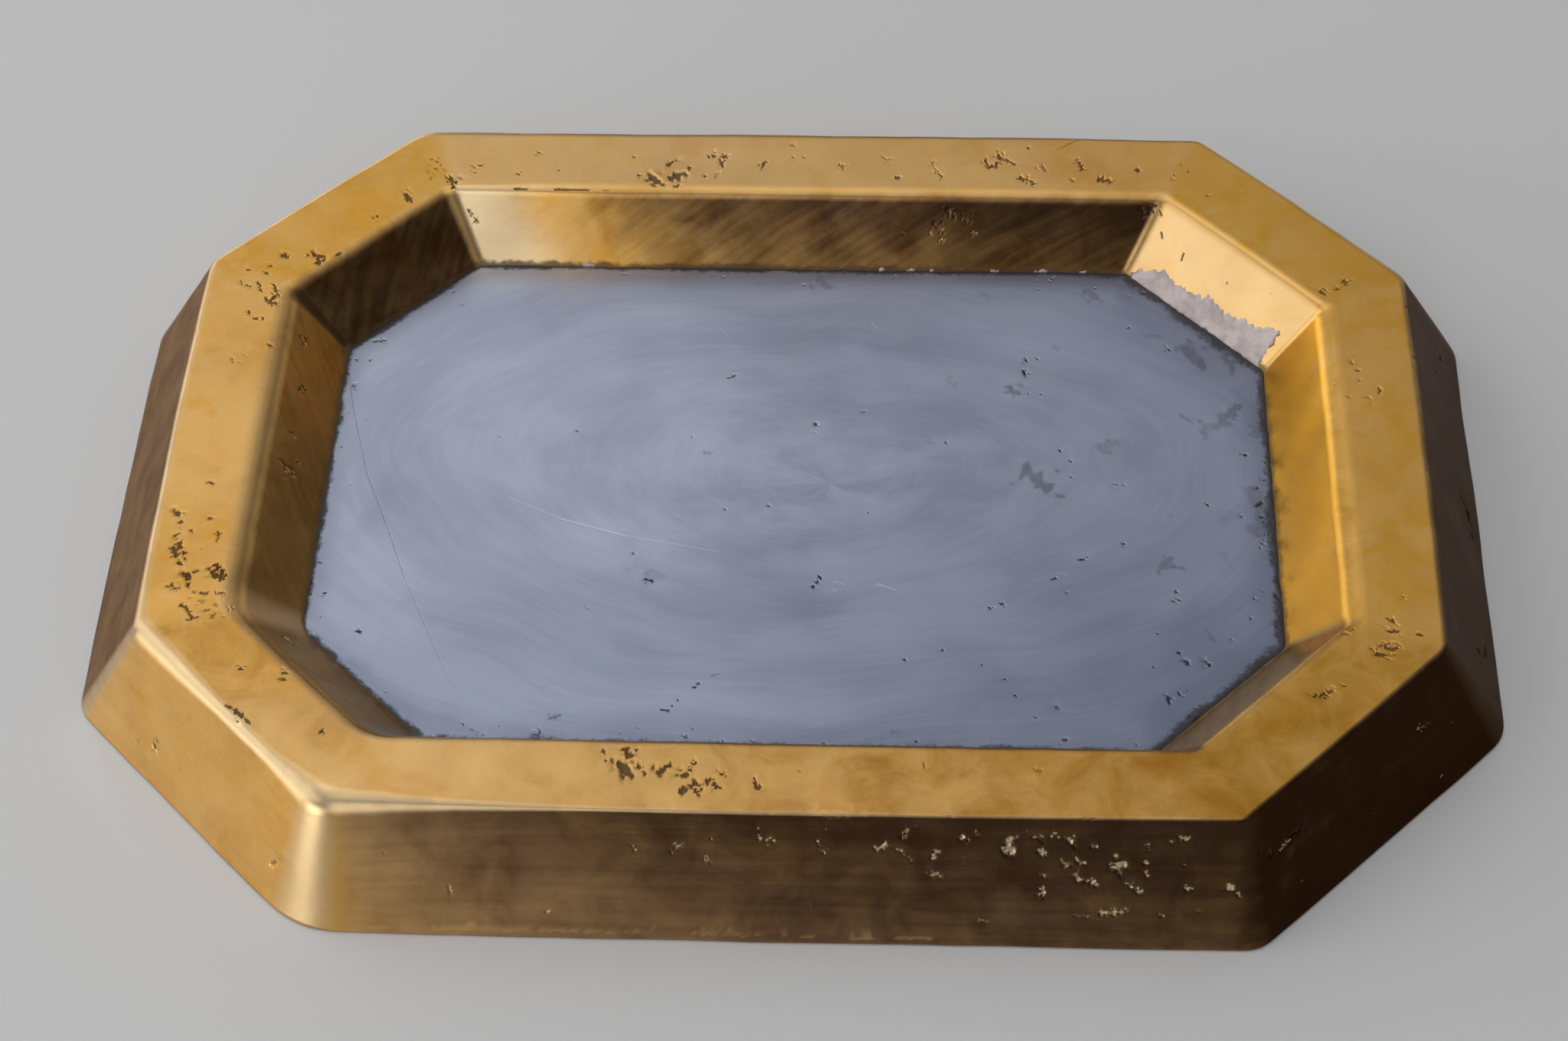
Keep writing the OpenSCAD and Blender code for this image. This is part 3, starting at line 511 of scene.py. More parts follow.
def press(p, marks, seed=900):
    """What the marks do at points p: how deep they press, and how dark, bright, stained and tinted they leave it."""
    out = {n: np.zeros(len(p)) for n in ("depth", "pit", "bright", "stain", "tint", "rub")}
    for i, (a, b, r, strength, kind) in enumerate(marks):
        share, most, dark = KINDS[kind][:3]
        reach = (2.6 if kind == "pit" else 1.7) * r
        m = np.flatnonzero(((p > np.minimum(a, b) - reach) & (p < np.maximum(a, b) + reach)).all(1))
        if not len(m):
            continue
        q, ab = p[m], b - a
        f = np.clip((q - a) @ ab / max(ab @ ab, 1e-9), 0, 1)
        away = np.linalg.norm(q - a - f[:, None] * ab, axis=1) / r
        ragged = 0.16 if kind in ("line", "bright", "crack") else 0.38
        away = away * (1 + ragged * waves(q, seed + i, 1.9 * r, 7)) - (0 if kind in ("line", "bright") else 0.10)
        if kind in ("stain", "tint", "rub"):
            x = np.clip((1.7 - away) / 1.7 if kind == "tint" else 1.35 - away, 0, 1)
            out[kind][m] = np.maximum(out[kind][m], strength * x * x * (3 - 2 * x))
            continue
        if kind == "pit":
            x = np.clip((2.3 - away) / 1.6, 0, 1)
            out["tint"][m] = np.maximum(out["tint"][m], 0.45 * strength * x * x)
        x = np.clip((1.0 - away) / (0.75 if kind in ("glint", "dent", "bowl") else 0.52), 0, 1)
        bowl = x * x * (3 - 2 * x)
        if kind in ("glint", "dent"):
            bowl = bowl * (1 + 0.35 * waves(q, seed + 500 + i, 1.1 * r, 6))
        deep = min(share * r, most) * strength
        out["depth"][m] = np.maximum(out["depth"][m], deep * bowl)
        name = "bright" if kind == "bright" else "pit"
        out[name][m] = np.maximum(out[name][m], (strength if kind == "bright" else dark * strength) * x)
        # A glint pit is also marked for a painted highlight in the brass's colour
        if kind == "glint":
            out["bright"][m] = np.maximum(out["bright"][m], strength * x)
    return out


def near(p, size, marks, finest):
    """Cells at points p, size across, that a mark touches and that are still too coarse for it."""
    hit = np.zeros(len(p), bool)
    for a, b, r, _, kind in marks:
        target = max(r * KINDS[kind][3], finest, KINDS[kind][4])
        reach = 1.02 * r
        box = ((p > np.minimum(a, b) - reach - 2.2) & (p < np.maximum(a, b) + reach + 2.2)).all(1)
        m = np.flatnonzero(box & ~hit & (size > target))
        if not len(m):
            continue
        ab = b - a
        f = np.clip((p[m] - a) @ ab / max(ab @ ab, 1e-9), 0, 1)
        away = np.linalg.norm(p[m] - a - f[:, None] * ab, axis=1)
        hit[m[away < reach + 0.45 * size[m]]] = True
    return hit


# ---------------------------------------------------------------- grids that are finer near the marks
def split_grid(ns, nt, too_coarse, loops):
    """Which cells of an ns by nt grid are split, level by level, with neighbours at most one level apart."""
    split = []
    i, j = (x.ravel() for x in np.meshgrid(np.arange(ns), np.arange(nt), indexing="ij"))
    for level in range(FINEST):
        grid = np.zeros((ns << level, nt << level), bool)
        need = too_coarse(i, j, level)
        i, j = i[need], j[need]
        grid[i, j] = True
        split.append(grid)
        i = np.concatenate([2 * i, 2 * i + 1, 2 * i, 2 * i + 1])
        j = np.concatenate([2 * j, 2 * j, 2 * j + 1, 2 * j + 1])
    for level in range(FINEST - 1, 0, -1):
        grid = split[level]
        grown = grid.copy()
        for axis in (0, 1):
            for step in (-1, 1):
                moved = np.roll(grid, step, axis)
                if not loops:
                    edge = [slice(None), slice(None)]
                    edge[axis] = 0 if step == 1 else -1
                    moved[tuple(edge)] = False
                grown |= moved
        a, b = split[level - 1].shape
        split[level - 1] |= grown.reshape(a, 2, b, 2).any(axis=(1, 3))
    return split


def leaves(split, ns, nt):
    """(level, i, j) of every cell that isn't split."""
    exists = np.ones((ns, nt), bool)
    for level in range(FINEST + 1):
        grid = split[level] if level < FINEST else np.zeros_like(exists)
        i, j = np.nonzero(exists & ~grid)
        yield level, i, j
        exists = np.kron(grid, np.ones((2, 2), bool)) if level < FINEST else None


def wrapped_faces(split, ns, nt):
    """Faces of a grid that closes on itself both ways, as arrays of corner places (i, j) on the finest grid."""
    out = []
    for level, i, j in leaves(split, ns, nt):
        if not len(i):
            continue
        step = 1 << (FINEST - level)
        half = step // 2
        if level < FINEST:
            g = split[level]
            a, b = g.shape
            mids = [g[i, (j - 1) % b], g[(i + 1) % a, j], g[i, (j + 1) % b], g[(i - 1) % a, j]]
        else:
            mids = [np.zeros(len(i), bool)] * 4
        code = sum(m.astype(int) << n for n, m in enumerate(mids))
        for c in np.unique(code):
            m = code == c
            x, y = i[m] * step, j[m] * step
            corners, fan = [], None
            for n, (p, q) in enumerate([((0, 0), (half, 0)), ((step, 0), (step, half)), ((step, step), (half, step)), ((0, step), (0, half))]):
                corners.append((x + p[0], y + p[1]))
                if c >> n & 1:
                    fan = len(corners) if fan is None else fan
                    corners.append((x + q[0], y + q[1]))
            if fan is None:
                out.append((np.stack([k[0] for k in corners], 1), np.stack([k[1] for k in corners], 1)))
                continue
            # A cell with a finer neighbour is cut into triangles that meet at the middle of a shared side
            corners = corners[fan:] + corners[:fan]
            for n in range(1, len(corners) - 1):
                three = (corners[0], corners[n], corners[n + 1])
                out.append((np.stack([k[0] for k in three], 1), np.stack([k[1] for k in three], 1)))
    return out


def build(name, points, faces, floats, corners=None):
    """A mesh object from points in millimetres, a list of arrays of faces, and values at the points and corners."""
    used = np.unique(np.concatenate([f.ravel() for f in faces]))
    if len(used) < len(points):
        renumber = np.zeros(len(points), int)
        renumber[used] = np.arange(len(used))
        points, faces = points[used], [renumber[f] for f in faces]
        floats = {key: value[used] for key, value in floats.items()}
    mesh = bpy.data.meshes.new(name)
    sizes = np.concatenate([np.full(len(f), f.shape[1]) for f in faces])
    loops = np.concatenate([f.ravel() for f in faces])
    mesh.vertices.add(len(points))
    mesh.vertices.foreach_set("co", (points / 1000.0).astype(np.float32).ravel())
    mesh.loops.add(len(loops))
    mesh.loops.foreach_set("vertex_index", loops.astype(np.int32))
    mesh.polygons.add(len(sizes))
    mesh.polygons.foreach_set("loop_start", np.r_[0, np.cumsum(sizes)[:-1]].astype(np.int32))
    mesh.polygons.foreach_set("use_smooth", np.ones(len(sizes), bool))
    mesh.update(calc_edges=True)
    for key, value in floats.items():
        layer = mesh.attributes.new(key, "FLOAT", "POINT")
        layer.data.foreach_set("value", value.astype(np.float32))
    if corners is not None:
        layer = mesh.attributes.new("run", "FLOAT_VECTOR", "CORNER")
        layer.data.foreach_set("vector", corners.astype(np.float32).ravel())
    mesh.set_sharp_from_angle(angle=math.radians(62))
    obj = bpy.data.objects.new(name, mesh)
    bpy.context.scene.collection.objects.link(obj)
    return obj


# ---------------------------------------------------------------- the brass frame
F, FR, R, BR, B, BL, L, FL = range(8)
brass_marks = [m for place in ("wF", "wFR", "wFL", "wL", "wR", "iL", "iFL", "iB", "iBR") for m in rows_of(place)]
brass_marks += rows_of("top", TOP_Z)
brass_marks += scattered([B, B, BL, BR], 72, 41, 3, 17)
brass_marks += scattered([R, L, FR, FL], 24, 43, 3, 15, biggest=0.3)
# Bare metal where the lower and upper edges of the front wall have rubbed on things
rng = np.random.default_rng(52)
for lo, hi, z0, z1, n, most in ((-40.0, -6.0, 0.9, 1.8, 10, 0.35), (-6.0, 30.0, 0.8, 1.3, 5, 0.25), (5.5, 14.5, 19.7, 19.9, 7, 0.45), (-60.0, -40.0, 1.0, 1.6, 5, 0.35)):
    for x in rng.uniform(lo, hi, n):
        z = rng.uniform(z0, z1)
        half, r = rng.exponential(1.4) + 0.2, 0.22 + rng.exponential(0.5 * most)
        y = -outer_at(z)[F]
        brass_marks.append((np.array([x - half, y, z]), np.array([x + half, y, z]), min(r, most), rng.uniform(0.5, 1.0), "rub"))
# Small knocks on the frame's edges, found along the grid line at the middle of each rounding
rng = np.random.default_rng(77)
for t_mid, lo, hi, n in ((T_START[1] + 3.5, 0.10, 0.30, 36), (T_START[3] + 3, 0.08, 0.20, 16)):
    for s in rng.uniform(0, N_S, n):
        q = skin([s], [t_mid])[0][0]
        step = skin([s + 0.4], [t_mid])[0][0] - q
        r = rng.uniform(lo, hi)
        step *= r * rng.uniform(0.2, 3.0) / np.linalg.norm(step)
        brass_marks.append((q - step, q + step, r, rng.uniform(0.3, 0.8), "dent"))


def brass_too_coarse(i, j, level):
    w = 1.0 / (1 << level)
    p = framed((i + 0.5) * w, (j + 0.5) * w)[0]
    a = skin(i * w, (j + 0.5) * w)[0] - skin((i + 1) * w, (j + 0.5) * w)[0]
    b = skin((i + 0.5) * w, j * w)[0] - skin((i + 0.5) * w, (j + 1) * w)[0]
    size = np.maximum(np.linalg.norm(a, axis=1), np.linalg.norm(b, axis=1))
    return near(p, size, brass_marks, 0.21)


print("marks", len(brass_marks))
split = split_grid(N_S, N_T, brass_too_coarse, True)
grid_faces = wrapped_faces(split, N_S, N_T)
FINE = float(1 << FINEST)
SPAN_S, SPAN_T = N_S << FINEST, N_T << FINEST
keys = np.concatenate([((a % SPAN_S) * SPAN_T + b % SPAN_T).ravel() for a, b in grid_faces])
unique, index = np.unique(keys, return_inverse=True)
vs, vt = (unique // SPAN_T) / FINE, (unique % SPAN_T) / FINE
brass_p, brass_n, where = framed(vs, vt)
outside = (where[2] <= 4) | (where[2] == 12)
pressed = press(brass_p, brass_marks)
brass_p -= brass_n * (pressed["depth"] * outside)[:, None]
brass_p[:, 2] = np.maximum(brass_p[:, 2], 0.0)

# Millimetres round the tray and across the section, for the direction of the brushing
step_s, step_t = np.arange(N_S + 1.0), np.arange(N_T + 1.0)
ring = skin(step_s, np.full(N_S + 1, T_START[1] + 3.5))[0]
across = skin(np.full(N_T + 1, S_START[0] + 40.0), step_t)[0]
mm_s = np.r_[0, np.cumsum(np.linalg.norm(np.diff(ring, axis=0), axis=1))]
mm_t = np.r_[0, np.cumsum(np.linalg.norm(np.diff(across, axis=0), axis=1))]
run = np.concatenate([np.stack([np.interp(a.ravel() / FINE, step_s, mm_s), np.interp(b.ravel() / FINE, step_t, mm_t), 0 * a.ravel()], 1)
                      for a, b in grid_faces])
faces, at_ = [], 0
for a, _ in grid_faces:
    faces.append(index[at_:at_ + a.size].reshape(a.shape))
    at_ += a.size

# Where the polishing wheel rubs hardest: the roundings. Their paler colour is also painted highlight, strongest at the
# front left where the corner and top edge catch the light
tw, tu = where[2], where[3]
bend = np.sin(np.pi * np.clip(tu, 0, 1))
turn = (where[0] % 2 == 1) * np.sin(np.pi * where[1])
wear_and_highlight = np.maximum(np.where((tw == 1) | (tw == 3), bend, 0), 0.8 * turn * ((tw == 0) | (tw == 1) | (tw == 3) | (tw == 4)))
wear_and_highlight *= np.interp(vs, *round_the_tray([("F", 0, 1.0), ("F", 0.3, 0.75), ("F", 0.6, 0.4), ("F", 0.95, 0.2), ("F", 1, 0.05), ("FR", 0, 0.05), ("FR", 1, 0.15), ("B", 0, 0.4),
                                       ("L", 0, 0.5), ("L", 0.9, 0.6), ("FL", 0, 1.0), ("FL", 1, 1.0)]), period=N_S)
outer = np.where(tw == 0, 1.0, 0.0) + np.where(tw == 1, 1 - tu, 0) + np.where(tw == 12, 1.0, 0.0)
inner = np.where(tw == 4, 1.0, 0.0) + np.where(tw == 3, tu, 0)
# How browned the brass is with age round the outer wall, the flat top and the inner wall, with painted shade added
# where facets mirror dark surroundings. Below 0 it is paler, a painted highlight where a wall mirrors bright light
PATINA_AND_SHADE = {
    "outer": [("F", 0, 0.12), ("F", 0.04, 0.36), ("F", 0.12, 0.52), ("F", 0.25, 0.64), ("F", 0.5, 0.80), ("F", 1, 0.88), ("FR", 0, 1.0), ("FR", 1, 1.0), ("R", 0, 1.0), ("R", 1, 1.0),
              ("BR", 0, 0.6), ("BR", 1, 0.5), ("B", 0, 0.5), ("B", 1, 0.35), ("BL", 0, 0.4), ("BL", 1, 0.45), ("L", 0, 0.74), ("L", 1, 0.70), ("FL", 0, 0.16), ("FL", 1, 0.08)],
    "top": [("F", 0, 0.12), ("F", 0.25, 0.23), ("F", 0.5, 0.38), ("F", 1, 0.50), ("FR", 0, 0.50), ("FR", 1, 0.30), ("R", 0, 0.03), ("R", 1, 0.03), ("BR", 0, 0.06), ("BR", 1, 0.04),
            ("B", 0, -0.12), ("B", 0.4, -0.26), ("B", 1, -0.34), ("BL", 0, 0.14), ("BL", 1, 0.12), ("L", 0, 0.07), ("L", 1, 0.09), ("FL", 0, 0.34), ("FL", 1, 0.28)],
    "inner": [("F", 0, 0.3), ("F", 1, 0.3), ("FR", 0, 0.26), ("FR", 1, 0.24), ("R", 0, 0.0), ("R", 1, 0.0), ("BR", 0, -0.36), ("BR", 1, -0.44), ("B", 0, 0.84),
              ("B", 0.35, 0.76), ("B", 0.6, 0.70), ("B", 0.76, 0.46), ("B", 0.88, -0.25), ("B", 1, -0.95), ("BL", 0, 0.82), ("BL", 1, 0.78), ("L", 0, 0.25), ("L", 1, 0.20), ("FL", 0, 0.24), ("FL", 1, 0.24)],
}
patina_and_shade = sum(share * np.interp(vs, *round_the_tray(PATINA_AND_SHADE[name]), period=N_S)
           for name, share in (("outer", outer), ("inner", inner), ("top", np.clip(1 - outer - inner, 0, 1))))
# Browner towards the top of the front wall and of the back wall of the pocket, and in patches low on the right one
height = brass_p[:, 2]
side = [np.interp(vs, *round_the_tray(rows), period=N_S) for rows in (
    [("FL", 1, 0), ("F", 0.06, 1), ("F", 1, 1), ("FR", 0.05, 0), ("L", 0, 0)], [("BR", 0.9, 0), ("B", 0, 1), ("B", 0.9, 1), ("BL", 0, 0), ("F", 0, 0)],
    [("FR", 0.9, 0), ("R", 0, 1), ("R", 1, 1), ("BR", 0.1, 0.3), ("BR", 0.9, 0.3), ("B", 0, 0), ("L", 0, 0)])]
patina_and_shade += outer * side[0] * 0.24 * (height / 20 - 0.55) + inner * side[1] * 0.30 * ((height - 8.8) / 11.2 - 0.45)
patina_and_shade += inner * side[2] * 0.55 * np.clip((13.0 - height) / 3.6, 0, 1) * np.clip(0.25 + 0.45 * rough(brass_p, 91, 6.0, 2), 0, 1)
patina_and_shade = np.where(patina_and_shade > 0, patina_and_shade * (1 - 0.45 * pressed["rub"]), patina_and_shade)
wear_and_highlight = np.maximum(wear_and_highlight * np.where(tw == 3, 0.35, 1.0), 0.14 * pressed["rub"])
# Painted shade on the pocket's rounding along the right inner wall, dulling its highlight
patina_and_shade += 0.35 * bend * (tw == 3) * side[2]
# The right inner wall is painted more yellow all over, standing in for the warm light bounced between the brass walls
yellow_and_bounce = 0.85 * inner * np.interp(vs, *round_the_tray([("F", 0.5, 0), ("FR", 0.9, 0), ("R", 0, 1), ("R", 1, 1), ("BR", 0.1, 0), ("B", 0.5, 0)]), period=N_S)
yellow_and_bounce += np.clip(1 - outer - inner, 0, 1) * np.interp(vs, *round_the_tray([("F", 0, 0), ("F", 0.4, 0.08), ("F", 1, 0.55), ("FR", 0, 0.62), ("FR", 1, 0.62),
    ("R", 0, 0.55), ("R", 1, 0.42), ("BR", 0, 0.60), ("BR", 1, 0.55), ("B", 0, 0.2), ("B", 0.3, 0), ("BL", 0, 0.45), ("BL", 1, 0.45), ("L", 0, 0.2), ("FL", 0, 0.1)]), period=N_S)
values = {"pit": pressed["pit"] * outside, "tint": np.maximum(pressed["tint"], yellow_and_bounce), "wear_and_highlight": np.clip(wear_and_highlight, 0, 1), "outer": outer, "inner": inner, "patina_and_shade": patina_and_shade, "bright": pressed["bright"]}
brass = build("brass_casting", brass_p, faces, values, run)
print("brass triangles", int(sum((f.shape[1] - 2) * len(f) for f in faces)), "vertices", len(brass_p))


# ---------------------------------------------------------------- the aluminium base
def t_at(s, z):
    """Grid place across the section where the inner wall is at height z."""
    fa = np.interp(s, *EDGE_IN, period=N_S) / SIDE[(2, 3)]
    v = ((TOP_Z - z) / (TOP_Z - FOOT_Z) - fa) / (1 - fa)
    return T_START[4] + np.interp(v, T_STOPS[4], np.arange(len(T_STOPS[4])))


def seam_distance(p):
    """How far points of the floor are from the nearest facet of the inner wall."""
    return (inner_at(FLOOR_Z) - p[:, :2] @ NRM.T).min(1)


def triangles(loop, inside):
    """Triangles that fill a closed outline and use the points inside it. Returns points and faces, anticlockwise."""
    n = len(loop)
    both = [Vector(q) for q in np.r_[loop, inside]]
    found = delaunay_2d_cdt(both, [(i, (i + 1) % n) for i in range(n)], [], 1, 1e-6)
    pts = np.array([tuple(v) for v in found[0]])
    tri = np.array([list(f) for f in found[2]])
    a, b, c = pts[tri[:, 0]], pts[tri[:, 1]], pts[tri[:, 2]]
    turn = (b - a)[:, 0] * (c - a)[:, 1] - (b - a)[:, 1] * (c - a)[:, 0]
    tri[turn < 0] = tri[turn < 0][:, ::-1]
    first = np.full(n, -1)
    for new, old in enumerate(found[3]):
        for o in old:
            if o < n:
                first[o] = new
    return pts, tri, first


base_marks = rows_of("floor", FLOOR_Z)
rng = np.random.default_rng(15)
for k, count in ((R, 46), (FR, 30), (BR, 26), (F, 46), (FL, 16), (L, 16), (B, 12), (BL, 6)):
    # Grit cast into the floor beside the seam
    half = (51, 16, 30, 16)[k % 4]
    for _ in range(count):
        q = NRM[k] * (D_BASE[k] - 0.4 - rng.exponential(1.5)) + RUN[k] * rng.uniform(-half, half)
        r = 0.07 + rng.exponential(0.06)
        w = rng.uniform(0, np.pi)
        step = r * rng.uniform(0, 1.2) * np.array([np.cos(w), np.sin(w)])
        base_marks.append((np.r_[q - step, FLOOR_Z], np.r_[q + step, FLOOR_Z], r, rng.uniform(0.35, 0.9), "pit"))

CELL, X0, Y0, NX, NY = 1.6, -76.8, -54.4, 96, 66


def floor_too_coarse(i, j, level):
    size = CELL / (1 << level)
    p = np.stack([X0 + (i + 0.5) * size, Y0 + (j + 0.5) * size, np.full(len(i), FLOOR_Z)], 1)
    gap = seam_distance(p)
    beside = ((gap < 1.0 + size) & (size > 0.45)) | ((gap < 2.5 + size) & (size > 0.9))
    return (near(p, np.full(len(i), size), base_marks, 0.11) | beside) & (gap > -size)


floor_split = split_grid(NX, NY, floor_too_coarse, False)
spots = []
for level, i, j in leaves(floor_split, NX, NY):
    size = CELL / (1 << level)
    for a, b in ((0, 0), (1, 0), (1, 1), (0, 1)):
        q = np.stack([X0 + (i + a) * size, Y0 + (j + b) * size], 1)
        spots.append(q[seam_distance(q) > 0.3 * size + 0.05])
spots = np.unique(np.round(np.concatenate(spots), 4), axis=0)

ring_s = np.arange(0, N_S, 0.5)
wall_p, wall_n, _ = framed(ring_s, t_at(ring_s, FLOOR_Z))
sideways = wall_n[:, :2] / np.linalg.norm(wall_n[:, :2], axis=1)[:, None]
edge = wall_p[:, :2] - sideways * 0.12
cap, cap_tri, cap_ring = triangles(edge, spots)
cap3 = np.c_[cap, np.full(len(cap), FLOOR_Z)]
on_floor = press(cap3, base_marks, 3000)
gap = np.maximum(seam_distance(cap3), 0)
# The metal shrank away from the wall as it set, more in some places than in others
width = np.array([0.42, 0.55, 0.42, 0.50, 0.40, 0.50, 0.62, 0.80])
near_wall = inner_at(FLOOR_Z) - cap @ NRM.T
facet = near_wall.argmin(1)
shrink = width[facet] * (1 + 0.35 * rough(cap3, 61, 6.0))
dip = np.clip(1 - gap / np.maximum(shrink, 0.1), 0, 1)
cap3[:, 2] += 0.035 * waves(cap3, 21, 45) + 0.012 * waves(cap3, 22, 14) - on_floor["depth"] - 0.30 * dip * dip * (3 - 2 * dip)

shell = [cap3]
shell_faces = [cap_tri]
pit_v = [on_floor["pit"]]
bright_v = [on_floor["bright"]]
stain_v = [on_floor["stain"]]
# Counted further off where little soot stayed in the seam
clean = np.array([0.80, 0.68, 0.78, 0.58, 1.0, 1.1, 1.2, 1.05])
gap_v = [gap * clean[facet]]
film_v = [np.zeros(len(gap))]
previous = cap_ring
count = len(cap3)
n = len(ring_s)


def ring_faces(upper, lower):
    return np.stack([upper, lower, np.roll(lower, -1), np.roll(upper, -1)], 1)


def add(points, gap_value=20.0, film_value=0.0):
    """Adds points to the aluminium's shell and returns their numbers."""
    global count
    numbers = np.arange(count, count + len(points))
    count += len(points)
    shell.append(points)
    for v in (pit_v, bright_v, stain_v):
        v.append(np.zeros(len(points)))
    gap_v.append(np.full(len(points), float(gap_value)))
    film_v.append(np.full(len(points), float(film_value)))
    return numbers


for node in range(3, 10):
    numbers = add(skin(ring_s, np.full(n, float(T_START[node + 2])))[0])
    shell_faces.append(ring_faces(previous, numbers))
    previous = numbers
bottom_ring = shell[-1][:, :2]
gx, gy = np.meshgrid(np.arange(-108, 108.1, 2.4), np.arange(-78, 78.1, 2.4))
lattice = np.stack([gx.ravel(), gy.ravel()], 1)
lattice = lattice[(outer_at(0) - 8 - lattice @ NRM.T).min(1) > 1.0]
under, under_tri, under_ring = triangles(bottom_ring, lattice)
inside_distance = np.clip((outer_at(0) - 8 - under @ NRM.T).min(1) / 6.0, 0, 1)
under3 = np.c_[under, inside_distance * (0.10 + 0.04 * rough(np.c_[under, 0 * under[:, 0]], 71, 18.0)).clip(0.0)]
numbers = add(under3)
remap = numbers.copy()
remap[under_ring] = previous
shell_faces.append(remap[under_tri][:, ::-1])


def wall_place(k, a, z):
    """Points on the inner wall of facet k, a millimetres along it from its middle line and at height z, and the normals there."""
    t = t_at(np.full(len(a), S_START[2 * k] + 10.0), z)
    first = skin(np.full(len(a), float(S_START[2 * k])), t)[0][:, :2] @ RUN[k]
    last = skin(np.full(len(a), float(S_START[2 * k + 1])), t)[0][:, :2] @ RUN[k]
    u = (a - first) / (last - first)
    held = np.clip(u, 0.004, 0.996)
    s = S_START[2 * k] + np.interp(held, S_STOPS[2 * k], np.arange(len(S_STOPS[2 * k])))
    p, normal, _ = framed(s, t)
    p[:, :2] += RUN[k] * ((u - held) * (last - first))[:, None]
    return p, normal


def film(k, outline, thick, seed, cell=0.42, ragged=0.14):
    """A thin skin of aluminium that ran up the wall of facet k, inside an outline of (along, height) points."""
    outline = np.array(outline, float)
    closed = np.r_[outline, outline[:1]]
    lengths = np.linalg.norm(np.diff(closed, axis=0), axis=1)
    where_ = np.r_[0, np.cumsum(lengths)]
    m = max(int(where_[-1] / (0.6 * cell)), 12)
    at = np.linspace(0, where_[-1], m, endpoint=False)
    loop = np.stack([np.interp(at, where_, closed[:, c]) for c in (0, 1)], 1)
    ahead = np.roll(loop, -2, 0) - np.roll(loop, 2, 0)
    across = np.stack([ahead[:, 1], -ahead[:, 0]], 1) / np.linalg.norm(ahead, axis=1)[:, None]
    loop += ragged * across * rough(loop, seed, 1.6)[:, None]
    lo, hi = loop.min(0), loop.max(0)
    gx, gy = np.meshgrid(np.arange(lo[0], hi[0], cell), np.arange(lo[1], hi[1], cell))
    grid = np.stack([gx.ravel(), gy.ravel()], 1)
    a, b = loop, np.roll(loop, -1, 0)
    inside = np.zeros(len(grid), bool)
    away = np.full(len(grid), 1e9)
    for p, q in zip(a, b):
        crosses = (p[1] > grid[:, 1]) != (q[1] > grid[:, 1])
        with np.errstate(divide="ignore", invalid="ignore"):
            x = p[0] + (grid[:, 1] - p[1]) * (q[0] - p[0]) / (q[1] - p[1])
        inside ^= crosses & (grid[:, 0] < x)
        d = q - p
        f = np.clip((grid - p) @ d / max(d @ d, 1e-9), 0, 1)
        away = np.minimum(away, np.linalg.norm(grid - p - f[:, None] * d, axis=1))
    grid = grid[inside & (away > 0.4 * cell)]
    flat, tri, ring_ = triangles(loop, grid)
    p, normal = wall_place(k, flat[:, 0], flat[:, 1])
    height = np.full(len(flat), thick) * (1 + 0.22 * rough(flat, seed + 2, 3.0))
    height[np.unique(ring_[ring_ >= 0])] = 0.02
    top = add(p + normal * height[:, None], film_value=1.0)
    low = add(p - normal * 0.10, film_value=1.0)
    # Seen from the pocket the run goes left, so the near side's faces turn over
    shell_faces.append(top[tri][:, ::-1])
    shell_faces.append(low[tri])
    sides = {(p, q) for t in tri for p, q in zip(t, np.roll(t, -1))}
    rim = np.array(sorted((p, q) for p, q in sides if (q, p) not in sides))
    shell_faces.append(np.stack([top[rim[:, 0]], top[rim[:, 1]], low[rim[:, 1]], low[rim[:, 0]]], 1))


film(BR, [(-4.4, 8.3), (-4.2, 9.3), (-5.9, 10.4), (-7.9, 11.3), (-9.7, 12.0), (-11.9, 11.5), (-15.6, 11.4), (-17.5, 11.9),
          (-19.5, 12.4), (-22.7, 12.0), (-24.9, 12.2), (-26.4, 12.5), (-29.6, 12.8), (-32.0, 14.0), (-33.4, 14.1),
          (-33.5, 12.6), (-33.2, 10.5), (-33.0, 8.3)], 0.16, 109)
for x0, x1, high, seed in ((12.4, 13.2, 0.22, 111), (17.0, 18.4, 0.26, 112), (20.9, 21.5, 0.20, 113), (31.2, 32.6, 0.22, 115), (38.6, 40.8, 0.30, 117), (46.2, 47.3, 0.24, 139),
                           (-38.0, -36.0, 0.25, 119)):
    xs = np.linspace(-x0, -x1, 9)
    lift = FLOOR_Z + high * (0.35 + 0.65 * np.abs(waves(xs[:, None], seed, 3.0, 5)).clip(0, 1))
    film(B, [(xs[0], 8.4)] + list(zip(xs, lift)) + [(xs[-1], 8.4)], 0.10, seed, 0.25, 0.05)

alu_values = {"pit": np.concatenate(pit_v), "bright": np.concatenate(bright_v), "stain": np.concatenate(stain_v), "seam": np.concatenate(gap_v),
              "film": np.concatenate(film_v)}
alu = build("aluminium_casting", np.concatenate(shell), shell_faces, alu_values)
alu_p = np.concatenate(shell)
print("aluminium triangles", int(sum((f.shape[1] - 2) * len(f) for f in shell_faces)), "vertices", count)


